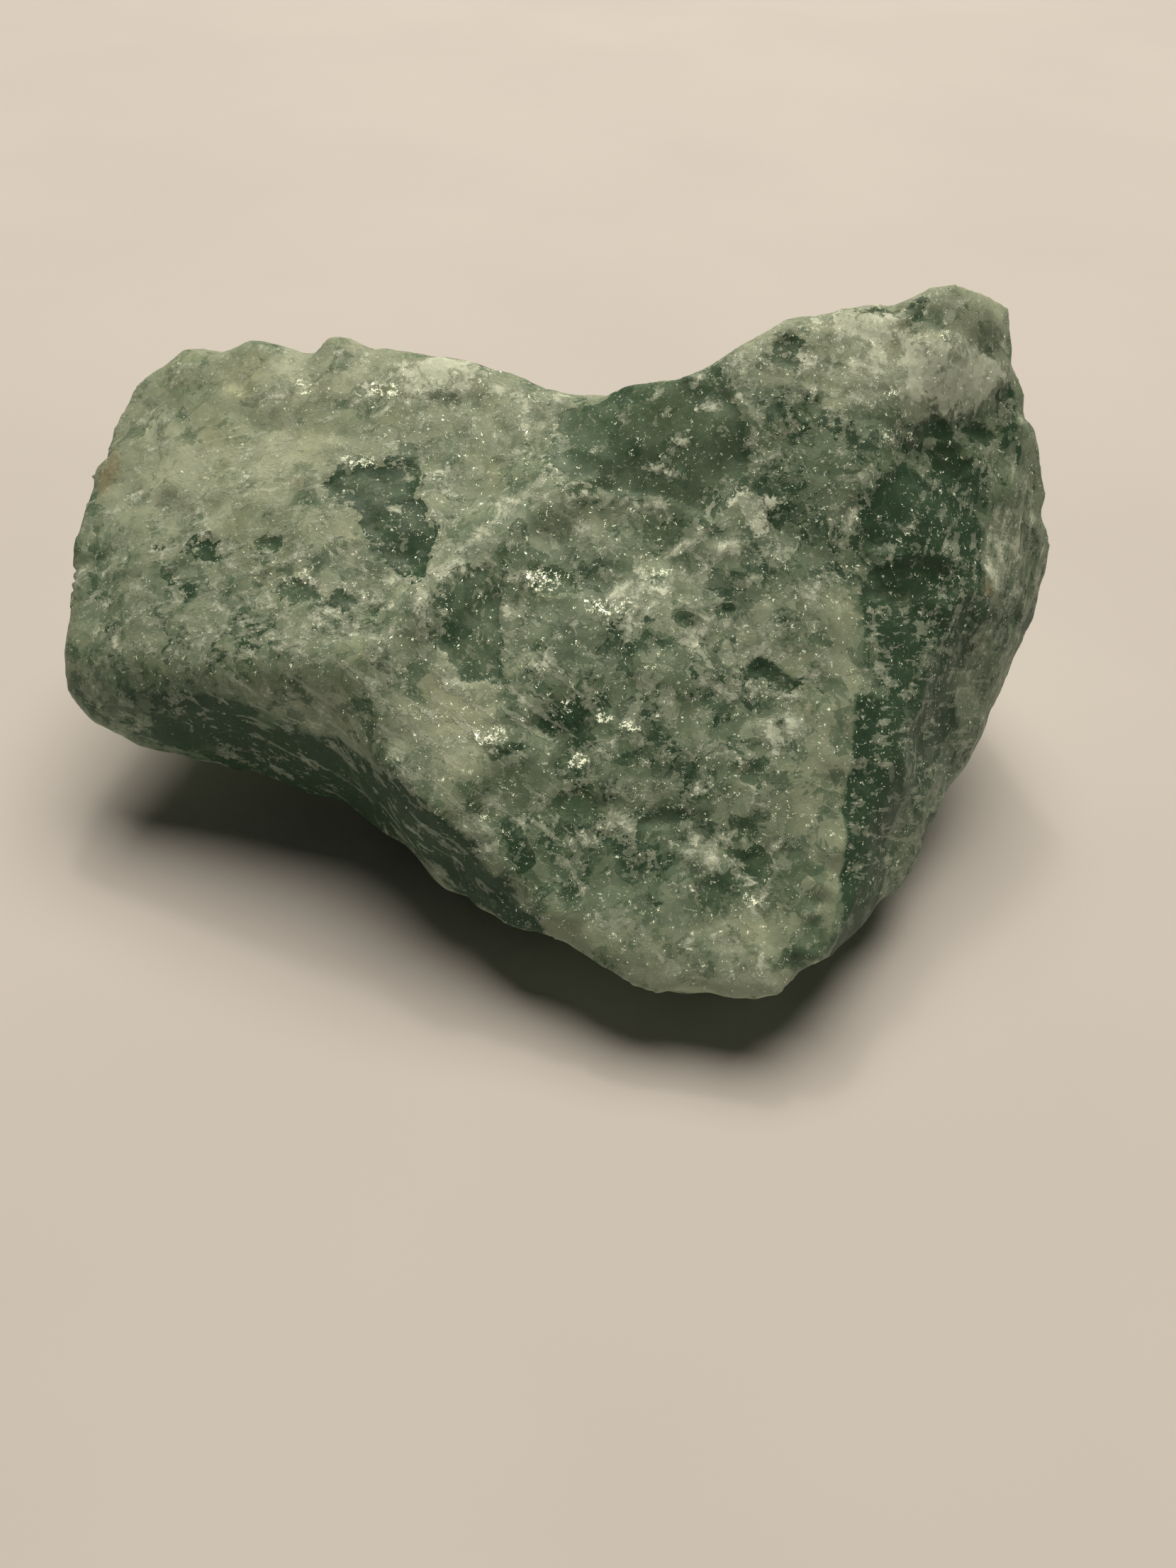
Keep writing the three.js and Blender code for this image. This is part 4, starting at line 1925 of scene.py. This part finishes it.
    def facing(self, s: Sheet, ground: Ground, height: Socket, flake: Socket, cells: Grains) -> Socket:
        """Adds relief finer than the mesh's own, with leaning grains and shiny flakes.

        Args:
            s: The node tree.
            ground: The shared sockets.
            height: The relief's height.
            flake: The share of shiny flakes.
            cells: The cells in each of which the flakes lean one way.

        Returns:
            The normal's socket.
        """
        bump = s.node("ShaderNodeBump", {"Strength": 1.0, "Distance": self.bump_m, "Height": height})
        tilt = s.vector(
            "ADD",
            s.lean(ground.coarse.colour, self.coarse_lean),
            s.lean(ground.fine.colour, self.fine_lean),
        )
        tilt = s.scaled(tilt, s.line(ground.clean, self.smooth_calm, 1.0))
        rough = s.vector("ADD", bump.outputs[0], tilt)
        shiny = s.vector("ADD", self.shiny_plane, s.lean(cells.colour, self.flake_lean))
        turned = s.node(
            "ShaderNodeVectorTransform",
            {"Vector": shiny},
            vector_type="NORMAL",
            convert_from="OBJECT",
            convert_to="WORLD",
        ).outputs[0]
        both = s.vector("ADD", s.scaled(rough, s.rest(flake)), s.scaled(turned, flake))
        return s.vector("NORMALIZE", both)


@dataclass(frozen=True)
class FloorFinish:
    """Plain pale matt floor."""

    colour: Colour = (0.72, 0.715, 0.70)
    darker: float = 0.96
    clouds_m: Noise = Noise(0.08)
    cloud_ends: Span = (0.3, 0.7)
    roughness: float = 0.9
    gloss: float = 0.2

    def make(self) -> bpy.types.Material:
        """Builds the material.

        Returns:
            The material for the floor.
        """
        s = Sheet("plain_floor")
        place = s.node("ShaderNodeTexCoord").outputs["Object"]
        soft = s.step(s.noise(place, self.clouds_m), self.cloud_ends)
        shade = s.blend(soft, self.colour, tuple(self.darker * part for part in self.colour))
        matt = s.node("ShaderNodeBsdfPrincipled", {"Base Color": shade, "Roughness": self.roughness})
        matt.inputs["Specular IOR Level"].default_value = self.gloss
        return s.finish(matt)


# Studio


@dataclass
class Studio:
    """The floor, the lights and the camera."""

    view: View = View()
    floor_half_m: float = 2.5
    sensor_mm: float = 36.0
    light_m: Point = (0.12, 0.66, 1.66)
    light_wide_m: float = 1.55
    light_watts: float = 32.4
    light_colour: Colour = (1.0, 0.875, 0.74)
    spark_m: Point = (-0.05, 0.36, 0.60)
    spark_wide_m: float = 0.07
    spark_watts: float = 0.5
    fill: Colour = (0.023, 0.021, 0.018)
    clip_m: Span = (0.005, 20.0)

    def build(self) -> None:
        """Makes everything that isn't part of the object."""
        self.add_floor()
        self.add_light("soft_light", self.light_m, self.light_wide_m, self.light_watts)
        self.add_light("spark_light", self.spark_m, self.spark_wide_m, self.spark_watts)
        self.add_fill()
        self.add_camera()

    def add_floor(self) -> None:
        """Lays a wide plain floor at height 0."""
        h = self.floor_half_m
        mesh = bpy.data.meshes.new("floor")
        mesh.from_pydata([(-h, -h, 0), (h, -h, 0), (h, h, 0), (-h, h, 0)], [], [(0, 1, 2, 3)])
        floor = bpy.data.objects.new("floor", mesh)
        bpy.context.scene.collection.objects.link(floor)
        mesh.materials.append(FloorFinish().make())

    def add_light(self, name: str, place: Point, wide: float, watts: float) -> None:
        """Adds a round soft light that faces the stone.

        Args:
            name: The light's name.
            place: Where it hangs, in metres.
            wide: Its diameter in metres.
            watts: Its power.
        """
        data = bpy.data.lights.new(name, "AREA")
        data.shape = "DISK"
        data.size = wide
        data.energy = watts
        data.color = self.light_colour
        light = bpy.data.objects.new(name, data)
        bpy.context.scene.collection.objects.link(light)
        light.location = place
        away = light.location.normalized()
        light.rotation_euler = away.to_track_quat("Z", "Y").to_euler()

    def add_fill(self) -> None:
        """Adds the weak light of the room."""
        world = bpy.data.worlds.new("room")
        bpy.context.scene.world = world
        world.use_nodes = True
        world.node_tree.nodes["Background"].inputs["Color"].default_value = (*self.fill, 1.0)
        bpy.context.scene.view_settings.view_transform = "Standard"

    def add_camera(self) -> None:
        """Stands the camera where the photograph was taken."""
        data = bpy.data.cameras.new("camera")
        data.sensor_width = self.sensor_mm
        data.lens = self.view.focal_px / self.view.high_px * self.sensor_mm
        data.clip_start, data.clip_end = self.clip_m
        camera = bpy.data.objects.new("camera", data)
        bpy.context.scene.collection.objects.link(camera)
        right, up, ahead = self.view.axes()
        turn = np.eye(4)
        turn[:3, 0], turn[:3, 1], turn[:3, 2] = right, up, -ahead
        turn[:3, 3] = np.array(self.view.eye) * MM
        camera.matrix_world = Matrix(turn.tolist())
        bpy.context.scene.camera = camera


def main() -> None:
    """Builds the chunk and the studio."""
    logging.basicConfig(level=logging.INFO, format="%(name)s: %(message)s")
    skin = StoneSkin()
    stone = Stone(skin.node, View())
    piece = skin.build(stone)
    piece.data.materials.append(FluoriteFinish().make(stone))
    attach(piece, "root")
    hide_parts(skin.node)
    triangles = sum(len(p.vertices) - 2 for p in piece.data.polygons)
    LOG.info("%s has %d triangles", piece.name, triangles)
    Studio().build()
    LOG.info("studio has a floor, two lights and a camera")


if __name__ == "__main__":
    main()
